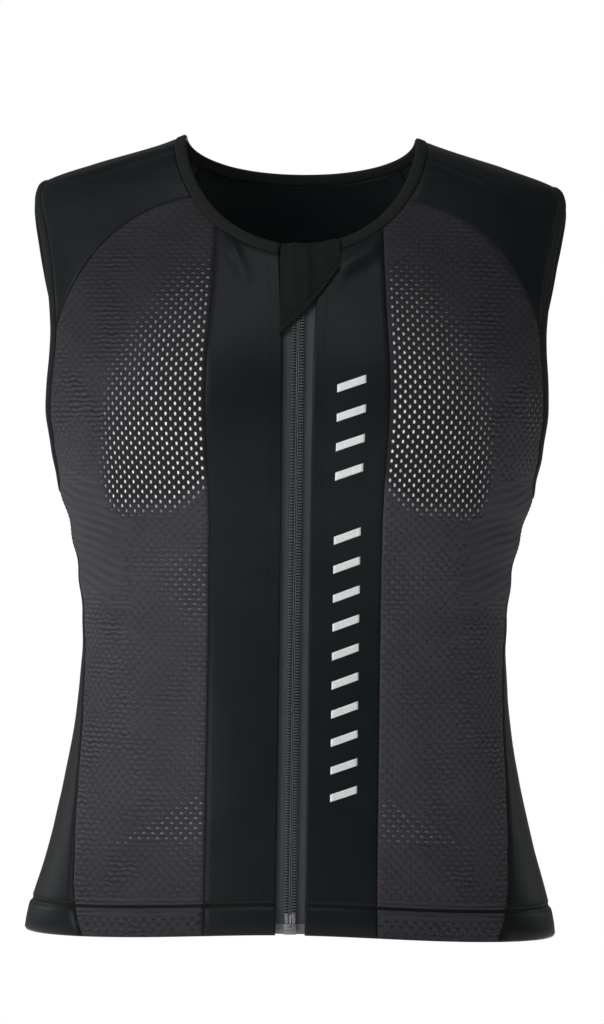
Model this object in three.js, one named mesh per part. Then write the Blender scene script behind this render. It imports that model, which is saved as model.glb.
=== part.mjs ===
// A sleeveless, zip-fronted vest with a padded protector on its back, in the shape it keeps when worn.
// Millimetres. +X is the wearer's left, -Y the front and +Z up. The origin lies midway between the two
// points where the neck edge crosses the shoulder ridges, so the shoulders that carry the vest meet it there.
import * as THREE from 'three';
import { LoftGeometry } from 'three/addons/geometries/LoftGeometry.js';

// Body sections from the neck down: half the width, the depth ahead of and behind the shoulder line,
// and the squareness of the oval, where 2 is a true ellipse.
const SECTIONS = [
  { z: 0, half: 86, front: 50, back: 53, square: 2 },
  { z: -5.5, half: 94, front: 53, back: 57, square: 2 },
  { z: -12, half: 113, front: 56, back: 60, square: 2 },
  { z: -22, half: 146, front: 59, back: 65, square: 2 },
  { z: -33, half: 178, front: 62, back: 70, square: 2 },
  { z: -43, half: 190, front: 65, back: 75, square: 2.1 },
  { z: -60, half: 197, front: 72, back: 83, square: 2.2 },
  { z: -100, half: 198, front: 91, back: 98, square: 2.3 },
  { z: -150, half: 192, front: 109, back: 107, square: 2.4 },
  { z: -200, half: 186, front: 116, back: 106, square: 2.4 },
  { z: -250, half: 172, front: 112, back: 99, square: 2.3 },
  { z: -300, half: 156, front: 103, back: 91, square: 2.2 },
  { z: -362, half: 151, front: 97, back: 86, square: 2.2 },
  { z: -430, half: 157, front: 101, back: 92, square: 2.2 },
  { z: -500, half: 171, front: 110, back: 103, square: 2.2 },
  { z: -550, half: 184, front: 116, back: 110, square: 2.2 },
  { z: -577, half: 189, front: 118, back: 112, square: 2.2 },
];
const BUST = { x: 74, z: -188, reach: 56, rise: 9 };
// Level folds that the underarm pulls across the side of the mesh
const DRAG_FOLDS = { y: -30, z: -292, reach: 60, pitch: 31, rise: 1.6 };

// Edges of the vest
const HEM_Z = -577;
const FRONT_RISE = { hem: 10, from: -400 };
const NECK = { half: 86, front: 76, back: 22 };
// The armhole is an oval that narrows towards its top, by a share that grows with a power of the height.
const ARMHOLE = { middle: -145, rise: 107, ahead: 52, behind: 46, narrowing: 0.3, power: 1.4, steps: 40 };

// Seams, as places on those edges: degrees round the neck from the front,
// and steps round the armhole from its top
const NECK_AT = { zip: 9, placket: 40, yokeFront: 57, yokeBack: 125, centreBack: 180 };
const ARM_AT = { yokeFront: 10, sideFront: 19, sideBack: 24, yokeBack: 31 };
const YOKE_BEND = { x: 147, z: -62 };
const FRONT_SEAM = { hem: { y: -70, z: HEM_Z }, bend: { y: -4, z: -400 } };
const BACK_SEAM = { hem: { y: 62, z: HEM_Z }, bend: { y: 50, z: -400 } };
const BACK_YOKE_BEND = { x: 128, z: -112 };

// Cloth
const CLOTH = 1.8;
const HEM = { height: 20, cloth: 3, ease: 2 };
const SEAM_GAP = 0.35;
const BINDING = { neck: 8, arm: 6.5, thick: 3.4 };
// Section of a binding: the share of its width from the edge, and its lift as a share of its thickness
const BINDING_SHAPE = [
  { across: 0.02, lift: 0 },
  { across: 0.18, lift: 0.42 },
  { across: 0.91, lift: 0.4 },
  { across: 0.91, lift: -0.4 },
  { across: 0.18, lift: -0.42 },
];

// Zip fastener and its facings
const PLACKET = { inner: 10.2, outer: 60, bend: 100 };
const ZIP_TAPE = { inner: 0.5, outer: 14, thick: 0.9, lift: -2.3, bottom: -576, top: -84 };
const ZIP_ROW = { inner: 0.5, outer: 4.9, thick: 2.2, lift: -0.2, bottom: -561.5, top: -101 };
const ROW_CROWN = { edge: 0.15, middle: 0.5 };
const ZIP_BOX = { width: 8.6, height: 7.5, depth: 3.4, lift: -1.5, bottom: -576.5, pin: 7, pinDepth: 2.2 };
const SLIDER = { width: 8, bottom: -100.5, height: 14, depth: 3.6, lift: -1.5, pull: 1, hang: 20 };
const GUARD = { from: -13, to: 28, innerZ: -99, longZ: -139, shortZ: -91, cloth: 1.7 };
const GUARD_FOLD = { outside: 3.7, inside: -4.6, rise: 2.4, clear: 0.6 };

// Protector pad on the back: half its width at each sewn channel, which lie evenly from the top down
const PAD_WIDTHS = [70, 106, 114, 102, 93, 94, 84];
const PAD = { top: -62, bottom: -550, lift: 2.6, edge: 3.5, crown: 15, channel: 5 };
// How soon the crown and the corners fill out from the ends of the pad, and how far the corners are cut back
const PAD_END = { crown: 14, corner: 8, cut: 0.34 };

// How finely the cloth is divided
const ROWS = { low: 20, neckBand: 2, backNeck: 14, panel: 7, side: 5, placket: 2, seam: 100 };
const ZIP_ROWS = { along: 20, across: 2 };
const GUARD_ROWS = { inside: 3, fold: 6, outside: 7, across: 7 };
const PAD_ROWS = { across: 10, breaks: [0, 0.12, 0.5, 0.88] };

const DEGREES = Math.PI / 180;
// The step, halvings and tries of a search for a place on the body
const PROBE = 1e-3;
const HALVINGS = 40;
const TRIES = 6;
const mix = THREE.MathUtils.lerp;

// The body that the vest lies on

const upward = SECTIONS.toReversed();
const widths = new THREE.CatmullRomCurve3(upward.map((s) => new THREE.Vector3(s.half, s.front, s.z)));
const depths = new THREE.CatmullRomCurve3(upward.map((s) => new THREE.Vector3(s.back, s.square, s.z)));
widths.curveType = 'catmullrom';
depths.curveType = 'catmullrom';

// A level runs from 0 at the hem to 1 at the neck.
function sectionAt(level) {
  const { x: half, y: front, z } = widths.getPoint(THREE.MathUtils.clamp(level, 0, 1));
  const { x: back, y: square } = depths.getPoint(THREE.MathUtils.clamp(level, 0, 1));
  return { half, front, back, square, z };
}

function levelAt(z) {
  let low = 0;
  let high = 1;
  for (let halving = 0; halving < HALVINGS; halving++) {
    const middle = (low + high) / 2;
    if (sectionAt(middle).z < z) low = middle;
    else high = middle;
  }
  return (low + high) / 2;
}

// A place on the body is an angle round it, 0 at the front and 90 degrees at the wearer's left, and a level.
function ovalPoint({ angle, level }) {
  const { half, front, back, square, z } = sectionAt(level);
  const aside = Math.abs(Math.sin(angle)) / half;
  const ahead = Math.abs(Math.cos(angle)) / (Math.cos(angle) > 0 ? front : back);
  const radius = (aside ** square + ahead ** square) ** (-1 / square);
  const facing = Math.max(0, Math.cos(angle)) ** 2;
  const rise = FRONT_RISE.hem * facing * THREE.MathUtils.smoothstep(-z, -FRONT_RISE.from, -HEM_Z);
  return new THREE.Vector3(radius * Math.sin(angle), -radius * Math.cos(angle), z + rise);
}

// The oval with the bust and the drag folds on it
function bodyPoint(place) {
  const point = ovalPoint(place);
  const flat = new THREE.Vector3(point.x, point.y, 0).normalize();
  const ahead = point.y < 0 ? 1 : 0;
  const bust = Math.hypot(Math.abs(point.x) - BUST.x, point.z - BUST.z) / BUST.reach;
  const drag = Math.hypot(point.y - DRAG_FOLDS.y, point.z - DRAG_FOLDS.z) / DRAG_FOLDS.reach;
  const fold = Math.cos((point.z - DRAG_FOLDS.z) * 2 * Math.PI / DRAG_FOLDS.pitch);
  const rise = ahead * BUST.rise * Math.exp(-bust * bust) + DRAG_FOLDS.rise * fold * Math.exp(-drag * drag);
  return point.addScaledVector(flat, rise);
}

// The two ways along the cloth at a place: round the body, and up it
function waysAlong({ angle, level }) {
  const start = Math.min(Math.max(level, PROBE), 1 - PROBE);
  const round = bodyPoint({ angle: angle + PROBE, level: start });
  round.sub(bodyPoint({ angle: angle - PROBE, level: start })).divideScalar(2 * PROBE);
  const up = bodyPoint({ angle, level: start + PROBE });
  up.sub(bodyPoint({ angle, level: start - PROBE })).divideScalar(2 * PROBE);
  return { round, up };
}

function outward(place) {
  const { round, up } = waysAlong(place);
  return round.cross(up).normalize();
}

function clothPoint(place, lift) {
  return bodyPoint(place).addScaledVector(outward(place), lift);
}

// Places named by what the front view or the side view shows
function seenFromFront(x, z, ahead = true) {
  const level = levelAt(z);
  const { half, front, back, square } = sectionAt(level);
  const share = Math.max(0, 1 - (Math.abs(x) / half) ** square) ** (1 / square);
  return { angle: Math.atan2(x, ahead ? front * share : -back * share), level };
}

function seenFromSide(y, z) {
  const level = levelAt(z);
  const { half, front, back, square } = sectionAt(level);
  const depth = y < 0 ? front : back;
  const share = Math.max(0, 1 - (Math.abs(y) / depth) ** square) ** (1 / square);
  return { angle: Math.atan2(half * share, -y), level };
}

// The place that lies a short way across the cloth from a curve, square to it
function beside(curve, at, width) {
  const along = bodyPoint(curve(at + PROBE)).sub(bodyPoint(curve(at - PROBE))).normalize();
  const start = curve(at);
  const aim = bodyPoint(start).addScaledVector(along.cross(outward(start)), width);
  const place = { ...start };
  for (let step = 0; step < TRIES; step++) {
    const { round, up } = waysAlong(place);
    const miss = bodyPoint(place).sub(aim);
    const [rr, ru, uu] = [round.dot(round), round.dot(up), up.dot(up)];
    const [rm, um] = [round.dot(miss), up.dot(miss)];
    const scale = rr * uu - ru * ru;
    place.angle -= (uu * rm - ru * um) / scale;
    place.level -= (rr * um - ru * rm) / scale;
  }
  return place;
}

// Edge curves of the wearer's left half

function neckEdge(degrees) {
  const turn = degrees * DEGREES;
  const ahead = Math.cos(turn) > 0;
  const drop = ahead ? NECK.front : NECK.back;
  return seenFromFront(NECK.half * Math.sin(turn), -drop * Math.abs(Math.cos(turn)), ahead);
}

function armEdge(step) {
  const turn = step * 2 * Math.PI / ARMHOLE.steps;
  const reach = Math.sin(turn) > 0 ? ARMHOLE.ahead : ARMHOLE.behind;
  const narrow = 1 - ARMHOLE.narrowing * Math.max(0, Math.cos(turn)) ** ARMHOLE.power;
  return seenFromSide(-reach * Math.sin(turn) * narrow, ARMHOLE.middle + ARMHOLE.rise * Math.cos(turn));
}

const neckSeam = (degrees) => beside(neckEdge, degrees, BINDING.neck);
const armSeam = (step) => beside(armEdge, step, BINDING.arm);

// Values spread evenly from one to the other, ends included
function spread(from, to, steps) {
  return Array.from({ length: steps + 1 }, (_, i) => mix(from, to, i / steps));
}

// One run of places after another, where each starts at the place that ends the run before
function joined(...runs) {
  return runs.flatMap((run, i) => (i ? run.slice(1) : run));
}

const neckRun = (from, to, steps) => spread(from, to, steps).map(neckSeam);
const armRun = (from, to) => spread(from, to, Math.abs(to - from)).map(armSeam);

// Heights up a seam: the hem, its fold, and even steps from there
function climb(top, steps) {
  const hemTop = HEM_Z + HEM.height;
  return [HEM_Z, hemTop, ...spread(hemTop + HEM.ease, top, steps - 2)];
}

function sideSeam(shape, end, steps) {
  const top = bodyPoint(end);
  const bend = new THREE.QuadraticBezierCurve(
    new THREE.Vector2(shape.hem.y, shape.hem.z),
    new THREE.Vector2(shape.bend.y, shape.bend.z),
    new THREE.Vector2(top.y, top.z),
  );
  const points = bend.getPoints(ROWS.seam);
  return climb(top.z, steps).map((z, i) => {
    if (i === steps) return end;
    const next = Math.max(1, points.findIndex((p) => p.y >= z));
    const [a, b] = [points[next - 1], points[next]];
    return seenFromSide(mix(a.x, b.x, (z - a.y) / (b.y - a.y)), z);
  });
}

// A seam across the front or back of the shoulder, bent towards one point
function shoulderSeam(start, end, bend, ahead, steps) {
  const [a, b] = [bodyPoint(start), bodyPoint(end)];
  const curve = new THREE.QuadraticBezierCurve(
    new THREE.Vector2(a.x, a.z),
    new THREE.Vector2(bend.x, bend.z),
    new THREE.Vector2(b.x, b.z),
  );
  return curve.getPoints(steps).map((p, i) => {
    if (i === 0) return start;
    return i === steps ? end : seenFromFront(p.x, p.y, ahead);
  });
}

// Places across the hem between two seams
function hemRun(from, to, steps) {
  return spread(from.angle, to.angle, steps).map((angle) => ({ angle, level: 0 }));
}

// Cloth walls

// A net of places filled in between four edges: left and right run upwards, bottom and top run left to right
function netBetween({ left, right, bottom, top }) {
  const [rows, columns] = [left.length - 1, bottom.length - 1];
  const blend = (key, i, j) => {
    const [v, u] = [i / rows, j / columns];
    const across = mix(left[i][key], right[i][key], u);
    const upwards = mix(bottom[j][key], top[j][key], v);
    const low = mix(bottom[0][key], bottom[columns][key], u);
    const high = mix(top[0][key], top[columns][key], u);
    return across + upwards - mix(low, high, v);
  };
  const place = (i, j) => ({ angle: blend('angle', i, j), level: blend('level', i, j) });
  return left.map((_, i) => bottom.map((_, j) => place(i, j)));
}

// Draws the rim of a grid of points in towards its middle, square to the rim on both sides of each point.
function drawnIn(grid, gap) {
  const [rows, columns] = [grid.length - 1, grid[0].length - 1];
  const square = (point, end, inner) => {
    const along = end.clone().sub(point).normalize();
    const inward = inner.clone().sub(point);
    return inward.addScaledVector(along, -inward.dot(along)).normalize();
  };
  const step = (point, inner, before, after) => {
    const ways = [before, after].filter(Boolean).map((end) => square(point, end, inner));
    const [one, other] = [ways[0], ways.at(-1)];
    return one.clone().add(other).multiplyScalar(gap / (1 + one.dot(other)));
  };
  return grid.map((row, i) => row.map((point, j) => {
    const moved = point.clone();
    const [west, east, south, north] = [row[j - 1], row[j + 1], grid[i - 1]?.[j], grid[i + 1]?.[j]];
    if (i === 0 || i === rows) moved.add(step(point, north ?? south, west, east));
    if (j === 0 || j === columns) moved.add(step(point, east ?? west, south, north));
    return moved;
  }));
}

// A closed wall on a net of places.
// The lift of each face from the body is a number, or a function of row and column.
function wall(net, innerLift, outerLift, gap = SEAM_GAP) {
  const read = (lift, i, j) => (typeof lift === 'function' ? lift(i, j) : lift);
  const lifted = (lift) => net.map((row, i) => row.map((place, j) => clothPoint(place, read(lift, i, j))));
  const face = (lift) => drawnIn(lifted(lift), gap);
  const [inner, outer] = [face(innerLift), face(outerLift)];
  const sections = inner.map((row, i) => [...row.toReversed(), ...outer[i]]);
  // Each end is closed along the middle of its rim, so that the rim follows the edge of the cloth.
  const rim = (i) => {
    const middle = inner[i].map((point, j) => point.clone().lerp(outer[i][j], 0.5));
    return [...middle.toReversed(), ...middle];
  };
  return new LoftGeometry([rim(0), ...sections, rim(net.length - 1)]);
}

// A panel of cloth, doubled over at the hem where it has one
function panel(edges, hemmed = true) {
  const thick = (i) => (hemmed && i < 2 ? HEM.cloth : CLOTH) / 2;
  return wall(netBetween(edges), (i) => -thick(i), thick);
}

// A rounded band from an edge curve to the seam beside it, through a list of stations
function band(edge, seam, stations, closed) {
  const sections = stations.map((at) => {
    const [from, to] = [edge(at), seam(at)];
    return BINDING_SHAPE.map(({ across, lift }) => {
      const place = { angle: mix(from.angle, to.angle, across), level: mix(from.level, to.level, across) };
      return clothPoint(place, lift * BINDING.thick);
    });
  });
  return new LoftGeometry(sections, { capStart: !closed, capEnd: !closed });
}

// Places on the wearer's right that mirror those on the left, going on round the back
const mirrored = (places) => places.map(({ angle, level }) => ({ angle: 2 * Math.PI - angle, level }));

// Materials

function cloth(color, roughness) {
  return new THREE.MeshStandardMaterial({ color, roughness, metalness: 0 });
}

const MATERIAL = {
  mesh: cloth(0x3b393f, 0.85),
  stretch: cloth(0x1d2124, 0.6),
  binding: cloth(0x151616, 0.7),
  pad: cloth(0x1b1e20, 0.65),
  tape: cloth(0x383c3f, 0.8),
  nylon: cloth(0x26292b, 0.45),
  steel: new THREE.MeshStandardMaterial({ color: 0x9b9b98, roughness: 0.4, metalness: 0.8 }),
};

const vest = new THREE.Group();

function add(name, geometry, material, mirror = false) {
  const mesh = new THREE.Mesh(geometry, material);
  mesh.name = name;
  if (mirror) mesh.scale.x = -1;
  vest.add(mesh);
}

// A piece of the wearer's left and its mirror image on the right
function addPair(name, geometry, material) {
  add(`${name}_left`, geometry, material);
  add(`${name}_right`, geometry, material, true);
}

// Seam runs that neighbouring panels share

const armFront = armRun(ARM_AT.sideFront, ARM_AT.yokeFront);
const armUnder = armRun(ARM_AT.sideFront, ARM_AT.sideBack);
const armBack = armRun(ARM_AT.sideBack, ARM_AT.yokeBack);
const armOver = armRun(ARM_AT.yokeFront, ARM_AT.yokeBack - ARMHOLE.steps);
const frontSeam = sideSeam(FRONT_SEAM, armFront[0], ROWS.low);
const backSeam = sideSeam(BACK_SEAM, armBack[0], ROWS.low);
const neckOverPlacket = neckRun(NECK_AT.zip, NECK_AT.placket, ROWS.placket);
const neckOverMesh = neckRun(NECK_AT.placket, NECK_AT.yokeFront, ROWS.neckBand);
const neckOverYoke = neckRun(NECK_AT.yokeFront, NECK_AT.yokeBack, armOver.length - 1);
const neckBehind = neckRun(NECK_AT.yokeBack, NECK_AT.centreBack, ROWS.backNeck / 2);
const yokeFront = shoulderSeam(neckOverYoke[0], armOver[0], YOKE_BEND, true, ROWS.panel);
const yokeBack = shoulderSeam(neckOverYoke.at(-1), armOver.at(-1), BACK_YOKE_BEND, false, ROWS.panel);

// A line straight up the front, bent at its top to end at a place on the neck seam
function frontLine(x, end, steps) {
  const top = bodyPoint(end);
  return climb(top.z, steps).map((z, i) => {
    const ease = Math.max(0, 1 - (top.z - z) / PLACKET.bend);
    return i === steps ? end : seenFromFront(mix(x, top.x, ease * ease), z);
  });
}

const sideRows = frontSeam.length - 1 + armFront.length - 1;
const placketEdge = frontLine(PLACKET.outer, neckOverPlacket.at(-1), sideRows - ROWS.neckBand);
const zipEdge = frontLine(PLACKET.inner, neckOverPlacket[0], sideRows - ROWS.neckBand);

// Panels

addPair('front_mesh', panel({
  left: joined(placketEdge, neckOverMesh),
  right: joined(frontSeam, armFront),
  bottom: hemRun(placketEdge[0], frontSeam[0], ROWS.panel),
  top: yokeFront,
}), MATERIAL.mesh);

addPair('placket', panel({
  left: zipEdge,
  right: placketEdge,
  bottom: hemRun(zipEdge[0], placketEdge[0], ROWS.placket),
  top: neckOverPlacket,
}), MATERIAL.stretch);

addPair('side_panel', panel({
  left: frontSeam,
  right: backSeam,
  bottom: hemRun(frontSeam[0], backSeam[0], ROWS.side),
  top: armUnder,
}), MATERIAL.stretch);

addPair('shoulder_yoke', panel({
  left: neckOverYoke,
  right: armOver,
  bottom: yokeFront,
  top: yokeBack,
}, false), MATERIAL.stretch);

const backLeft = joined(backSeam, armBack, yokeBack.toReversed());
add('back_panel', panel({
  left: backLeft,
  right: mirrored(backLeft),
  bottom: hemRun(backSeam[0], mirrored(backSeam)[0], ROWS.backNeck),
  top: joined(neckBehind, mirrored(neckBehind).toReversed()),
}), MATERIAL.stretch);

// Bindings

const neckStations = joined(
  spread(NECK_AT.zip, NECK_AT.placket, ROWS.placket),
  spread(NECK_AT.placket, NECK_AT.yokeFront, ROWS.neckBand),
  spread(NECK_AT.yokeFront, NECK_AT.yokeBack, armOver.length - 1),
  spread(NECK_AT.yokeBack, NECK_AT.centreBack, ROWS.backNeck / 2),
);
// Past the centre of the back the same stations come again on the wearer's right.
const reflect = (curve) => (degrees) => (
  degrees <= NECK_AT.centreBack ? curve(degrees) : mirrored([curve(360 - degrees)])[0]
);
const neckRound = joined(neckStations, neckStations.toReversed().map((degrees) => 360 - degrees));
add('neck_binding', band(reflect(neckEdge), reflect(neckSeam), neckRound, false), MATERIAL.binding);
const armRound = spread(0, ARMHOLE.steps, ARMHOLE.steps);
addPair('armhole_binding', band(armEdge, armSeam, armRound, true), MATERIAL.binding);

// Zip fastener

// A strip straight down the front between two distances from the middle
function frontStrip({ inner, outer, bottom, top }) {
  const across = spread(inner, outer, ZIP_ROWS.across);
  return spread(bottom, top, ZIP_ROWS.along).map((z) => across.map((x) => seenFromFront(x, z)));
}

const tapeBack = ZIP_TAPE.lift - ZIP_TAPE.thick / 2;
addPair('zip_tape', wall(frontStrip(ZIP_TAPE), tapeBack, tapeBack + ZIP_TAPE.thick, 0), MATERIAL.tape);

function rowFront(i, j) {
  const round = Math.sin(Math.PI * j / ZIP_ROWS.across);
  return ZIP_ROW.lift + ZIP_ROW.thick * mix(ROW_CROWN.edge, ROW_CROWN.middle, round);
}

const rowBack = ZIP_ROW.lift - ZIP_ROW.thick / 2;
addPair('zip_row', wall(frontStrip(ZIP_ROW), rowBack, rowFront, 0), MATERIAL.nylon);

// An outline in the plane that halves the vest, as height above a point on the zip and lift from it,
// drawn out to a width
function alongZip(outline, width, z) {
  const shape = new THREE.Shape(outline.map(({ up, lift }) => new THREE.Vector2(lift, up)));
  const geometry = new THREE.ExtrudeGeometry(shape, { depth: width, bevelEnabled: false });
  const place = seenFromFront(0, z);
  const ahead = outward(place);
  const across = new THREE.Vector3(-1, 0, 0);
  const turn = new THREE.Matrix4().makeBasis(ahead, across.clone().cross(ahead), across);
  return geometry.applyMatrix4(turn.setPosition(bodyPoint(place).addScaledVector(across, -width / 2)));
}

// The box, with the pin that stands in it
add('zip_box', alongZip([
  { up: 0, lift: ZIP_BOX.lift },
  { up: 0, lift: ZIP_BOX.lift + ZIP_BOX.depth },
  { up: ZIP_BOX.height, lift: ZIP_BOX.lift + ZIP_BOX.depth },
  { up: ZIP_BOX.height, lift: ZIP_BOX.lift + ZIP_BOX.pinDepth },
  { up: ZIP_BOX.height + ZIP_BOX.pin, lift: ZIP_BOX.lift + ZIP_BOX.pinDepth },
  { up: ZIP_BOX.height + ZIP_BOX.pin, lift: ZIP_BOX.lift },
], ZIP_BOX.width, ZIP_BOX.bottom), MATERIAL.steel);

// The slider, with its pull hanging down the front of the rows
const sliderFront = SLIDER.lift + SLIDER.depth;
const pullBack = sliderFront - SLIDER.pull;
add('zip_slider', alongZip([
  { up: 0, lift: SLIDER.lift },
  { up: 0, lift: pullBack },
  { up: -SLIDER.hang, lift: pullBack },
  { up: -SLIDER.hang, lift: sliderFront },
  { up: SLIDER.height, lift: sliderFront },
  { up: SLIDER.height, lift: SLIDER.lift },
], SLIDER.width, SLIDER.bottom), MATERIAL.steel);

// Zip guard

// From the inside of the neck up, over the edge and down the front,
// as heights with a lift and the way that the cloth faces
function guardPath(x) {
  const edge = NECK.front * -Math.sqrt(1 - (x / NECK.half) ** 2) + GUARD_FOLD.clear;
  const end = THREE.MathUtils.mapLinear(x, GUARD.from, GUARD.to, GUARD.longZ, GUARD.shortZ);
  const inside = spread(GUARD.innerZ, edge, GUARD_ROWS.inside)
    .map((z) => ({ z, lift: GUARD_FOLD.inside, faceUp: 0, faceOut: -1 }));
  const fold = spread(Math.PI, 0, GUARD_ROWS.fold).slice(1, -1).map((turn) => ({
    z: edge + GUARD_FOLD.rise * Math.sin(turn),
    lift: mix(GUARD_FOLD.inside, GUARD_FOLD.outside, (1 + Math.cos(turn)) / 2),
    faceUp: Math.sin(turn),
    faceOut: Math.cos(turn),
  }));
  const outside = spread(edge, end, GUARD_ROWS.outside)
    .map((z) => ({ z, lift: GUARD_FOLD.outside, faceUp: 0, faceOut: 1 }));
  return [...inside, ...fold, ...outside];
}

const guardSections = spread(GUARD.from, GUARD.to, GUARD_ROWS.across).map((x) => {
  const path = guardPath(x);
  const face = (side) => path.map(({ z, lift, faceUp, faceOut }) => {
    const step = side * GUARD.cloth / 2;
    return clothPoint(seenFromFront(x, z + step * faceUp), lift + step * faceOut);
  });
  return [...face(1), ...face(-1).toReversed()];
});
add('zip_guard', new LoftGeometry(guardSections, { capStart: true, capEnd: true }), MATERIAL.binding);

// Back protector

const padWidths = new THREE.SplineCurve(PAD_WIDTHS.toReversed().map((half, i) => new THREE.Vector2(half, i)));
const channels = PAD_WIDTHS.length - 1;
const padRows = spread(0, channels - 1, channels - 1)
  .flatMap((channel) => PAD_ROWS.breaks.map((part) => ({ share: (channel + part) / channels, part })));
padRows.push({ share: 1, part: 0 });
// 0 at either end of the pad, rising to 1 a short way from it
const nearEnd = (share, rate) => Math.min(1, rate * Math.min(share, 1 - share));
const padNet = padRows.map(({ share }) => {
  const half = padWidths.getPoint(share).x * (1 - PAD_END.cut * (1 - nearEnd(share, PAD_END.corner)) ** 2);
  return spread(half, -half, PAD_ROWS.across).map((x) => {
    const { angle, level } = seenFromFront(x, mix(PAD.bottom, PAD.top, share), false);
    return { angle: angle < 0 ? angle + 2 * Math.PI : angle, level };
  });
});

function padLift(i, j) {
  const aside = 2 * j / PAD_ROWS.across - 1;
  const { share, part } = padRows[i];
  const crown = (1 - aside ** 4) * (1 - (1 - nearEnd(share, PAD_END.crown)) ** 2);
  return PAD.lift + PAD.edge + (PAD.crown - PAD.edge - (part === 0 ? PAD.channel : 0)) * crown;
}

add('back_protector', wall(padNet, PAD.lift, padLift, 0), MATERIAL.pad);

export default vest;
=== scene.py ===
import math

import bmesh
import bpy
import numpy as np
from mathutils import Matrix, Vector, noise


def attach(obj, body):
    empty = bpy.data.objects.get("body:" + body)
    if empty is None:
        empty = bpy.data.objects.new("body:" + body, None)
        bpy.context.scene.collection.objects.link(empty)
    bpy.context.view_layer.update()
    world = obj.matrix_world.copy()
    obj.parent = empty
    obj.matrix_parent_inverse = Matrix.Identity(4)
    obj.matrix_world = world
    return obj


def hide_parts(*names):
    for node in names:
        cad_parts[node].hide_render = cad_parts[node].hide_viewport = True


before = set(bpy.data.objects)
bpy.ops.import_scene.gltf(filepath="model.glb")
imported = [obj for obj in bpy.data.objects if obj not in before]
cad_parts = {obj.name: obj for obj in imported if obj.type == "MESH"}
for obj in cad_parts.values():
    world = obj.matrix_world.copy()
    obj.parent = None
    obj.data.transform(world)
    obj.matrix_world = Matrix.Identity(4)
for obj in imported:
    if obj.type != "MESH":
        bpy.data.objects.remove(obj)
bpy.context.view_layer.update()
mm = 0.001
print("frame loaded,", len(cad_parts), "nodes")


# Sections of the filled-out vest from the neck down, in mm:
# height, half width, depth ahead, depth behind, squareness of the oval
vestSections = [
    (0, 82, 48, 51, 2),
    (-5.5, 94, 53, 57, 2),
    (-12, 113, 56, 60, 2),
    (-22, 146, 59, 65, 2),
    (-33, 178, 62, 70, 2),
    (-42, 190, 65, 75, 2.1),
    (-60, 196.5, 72, 83, 2.2),
    (-100, 195.5, 91, 98, 2.3),
    (-150, 188.5, 109, 107, 2.4),
    (-200, 185, 116, 106, 2.4),
    (-250, 170.5, 112, 99, 2.3),
    (-300, 157.5, 103, 91, 2.2),
    (-362, 151, 97, 86, 2.2),
    (-430, 157, 101, 92, 2.2),
    (-500, 171, 110, 103, 2.2),
    (-546, 184, 116, 110, 2.2),
    (-571, 189, 118, 112, 2.2),
]
chest = {"x": 74, "z": -188, "reach": 56, "rise": 9, "fade": 25}
sideFolds = {"y": -30, "z": -292, "reach": 60, "pitch": 31, "rise": 0.9}
hem = {"z": -571, "frontRise": 8.5, "riseFrom": -400}
ripples = [(46, 0.7), (17, 0.22)]  # size and rise of the soft unevenness of worn cloth
probe = 1e-3  # small step that slopes are measured with


def smoothThrough(rows, count):
    points = np.array(rows, float)
    ends = np.vstack([2 * points[0] - points[1], points, 2 * points[-1] - points[-2]])
    at = np.linspace(0, len(points) - 1, count)
    step = np.minimum(at.astype(int), len(points) - 2)
    f = (at - step)[:, None]
    a, b, c, d = (ends[step + k] for k in range(4))
    return b + 0.5 * f * (c - a + f * (2 * a - 5 * b + 4 * c - d + f * (3 * (b - c) + d - a)))


sections = smoothThrough(vestSections[::-1], 2001)
sectionLevels = np.linspace(0, 1, len(sections))


def sectionAt(level):  # a level runs from 0 at the hem to 1 at the neck
    return [np.interp(level, sectionLevels, column) for column in sections.T]


def levelAt(z):
    return np.interp(z, sections[:, 0], sectionLevels)


def smoothStep(x):
    x = np.clip(x, 0, 1)
    return x * x * (3 - 2 * x)


def mix(a, b, share):
    return a + (b - a) * share


def unit(vectors):
    return vectors / np.linalg.norm(vectors, axis=-1, keepdims=True)


# A place is an angle round the vest, 0 at the front, and a level
def surfacePoints(places):
    angle, level = places[..., 0], places[..., 1]
    z, half, front, back, square = sectionAt(level)
    sine, cosine = np.sin(angle), np.cos(angle)
    depth = np.where(cosine > 0, front, back)
    radius = ((np.abs(sine) / half) ** square + (np.abs(cosine) / depth) ** square) ** (-1 / square)
    x, y = radius * sine, -radius * cosine
    low = smoothStep((hem["riseFrom"] - z) / (hem["riseFrom"] - hem["z"]))
    z = z + hem["frontRise"] * np.maximum(0, cosine) ** 2 * low
    fromChest = np.hypot(np.abs(x) - chest["x"], z - chest["z"]) / chest["reach"]
    fromFolds = np.hypot(y - sideFolds["y"], z - sideFolds["z"]) / sideFolds["reach"]
    fold = np.cos((z - sideFolds["z"]) * 2 * np.pi / sideFolds["pitch"])
    swell = smoothStep(-y / chest["fade"]) * chest["rise"] * np.exp(-fromChest ** 2)
    swell = swell + sideFolds["rise"] * fold * np.exp(-fromFolds ** 2)
    stretch = 1 + swell / radius
    return np.stack([x * stretch, y * stretch, z], -1)


def waysAlong(places):
    angle, level = places[..., 0], np.clip(places[..., 1], probe, 1 - probe)

    def at(turn, rise):
        return surfacePoints(np.stack([angle + turn, level + rise], -1))

    return (at(probe, 0) - at(-probe, 0)) / (2 * probe), (at(0, probe) - at(0, -probe)) / (2 * probe)


def outward(places):
    return unit(np.cross(*waysAlong(places)))


def ripple(points):
    rise = np.zeros(points.shape[:-1])
    for size, height in ripples:
        wave = [noise.noise(Vector(p) / size) for p in points.reshape(-1, 3)]
        rise += height * np.array(wave).reshape(rise.shape)
    return rise


def clothPoints(places, lift):
    points = surfacePoints(places)
    return points + outward(places) * (lift + ripple(points))[..., None]


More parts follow.
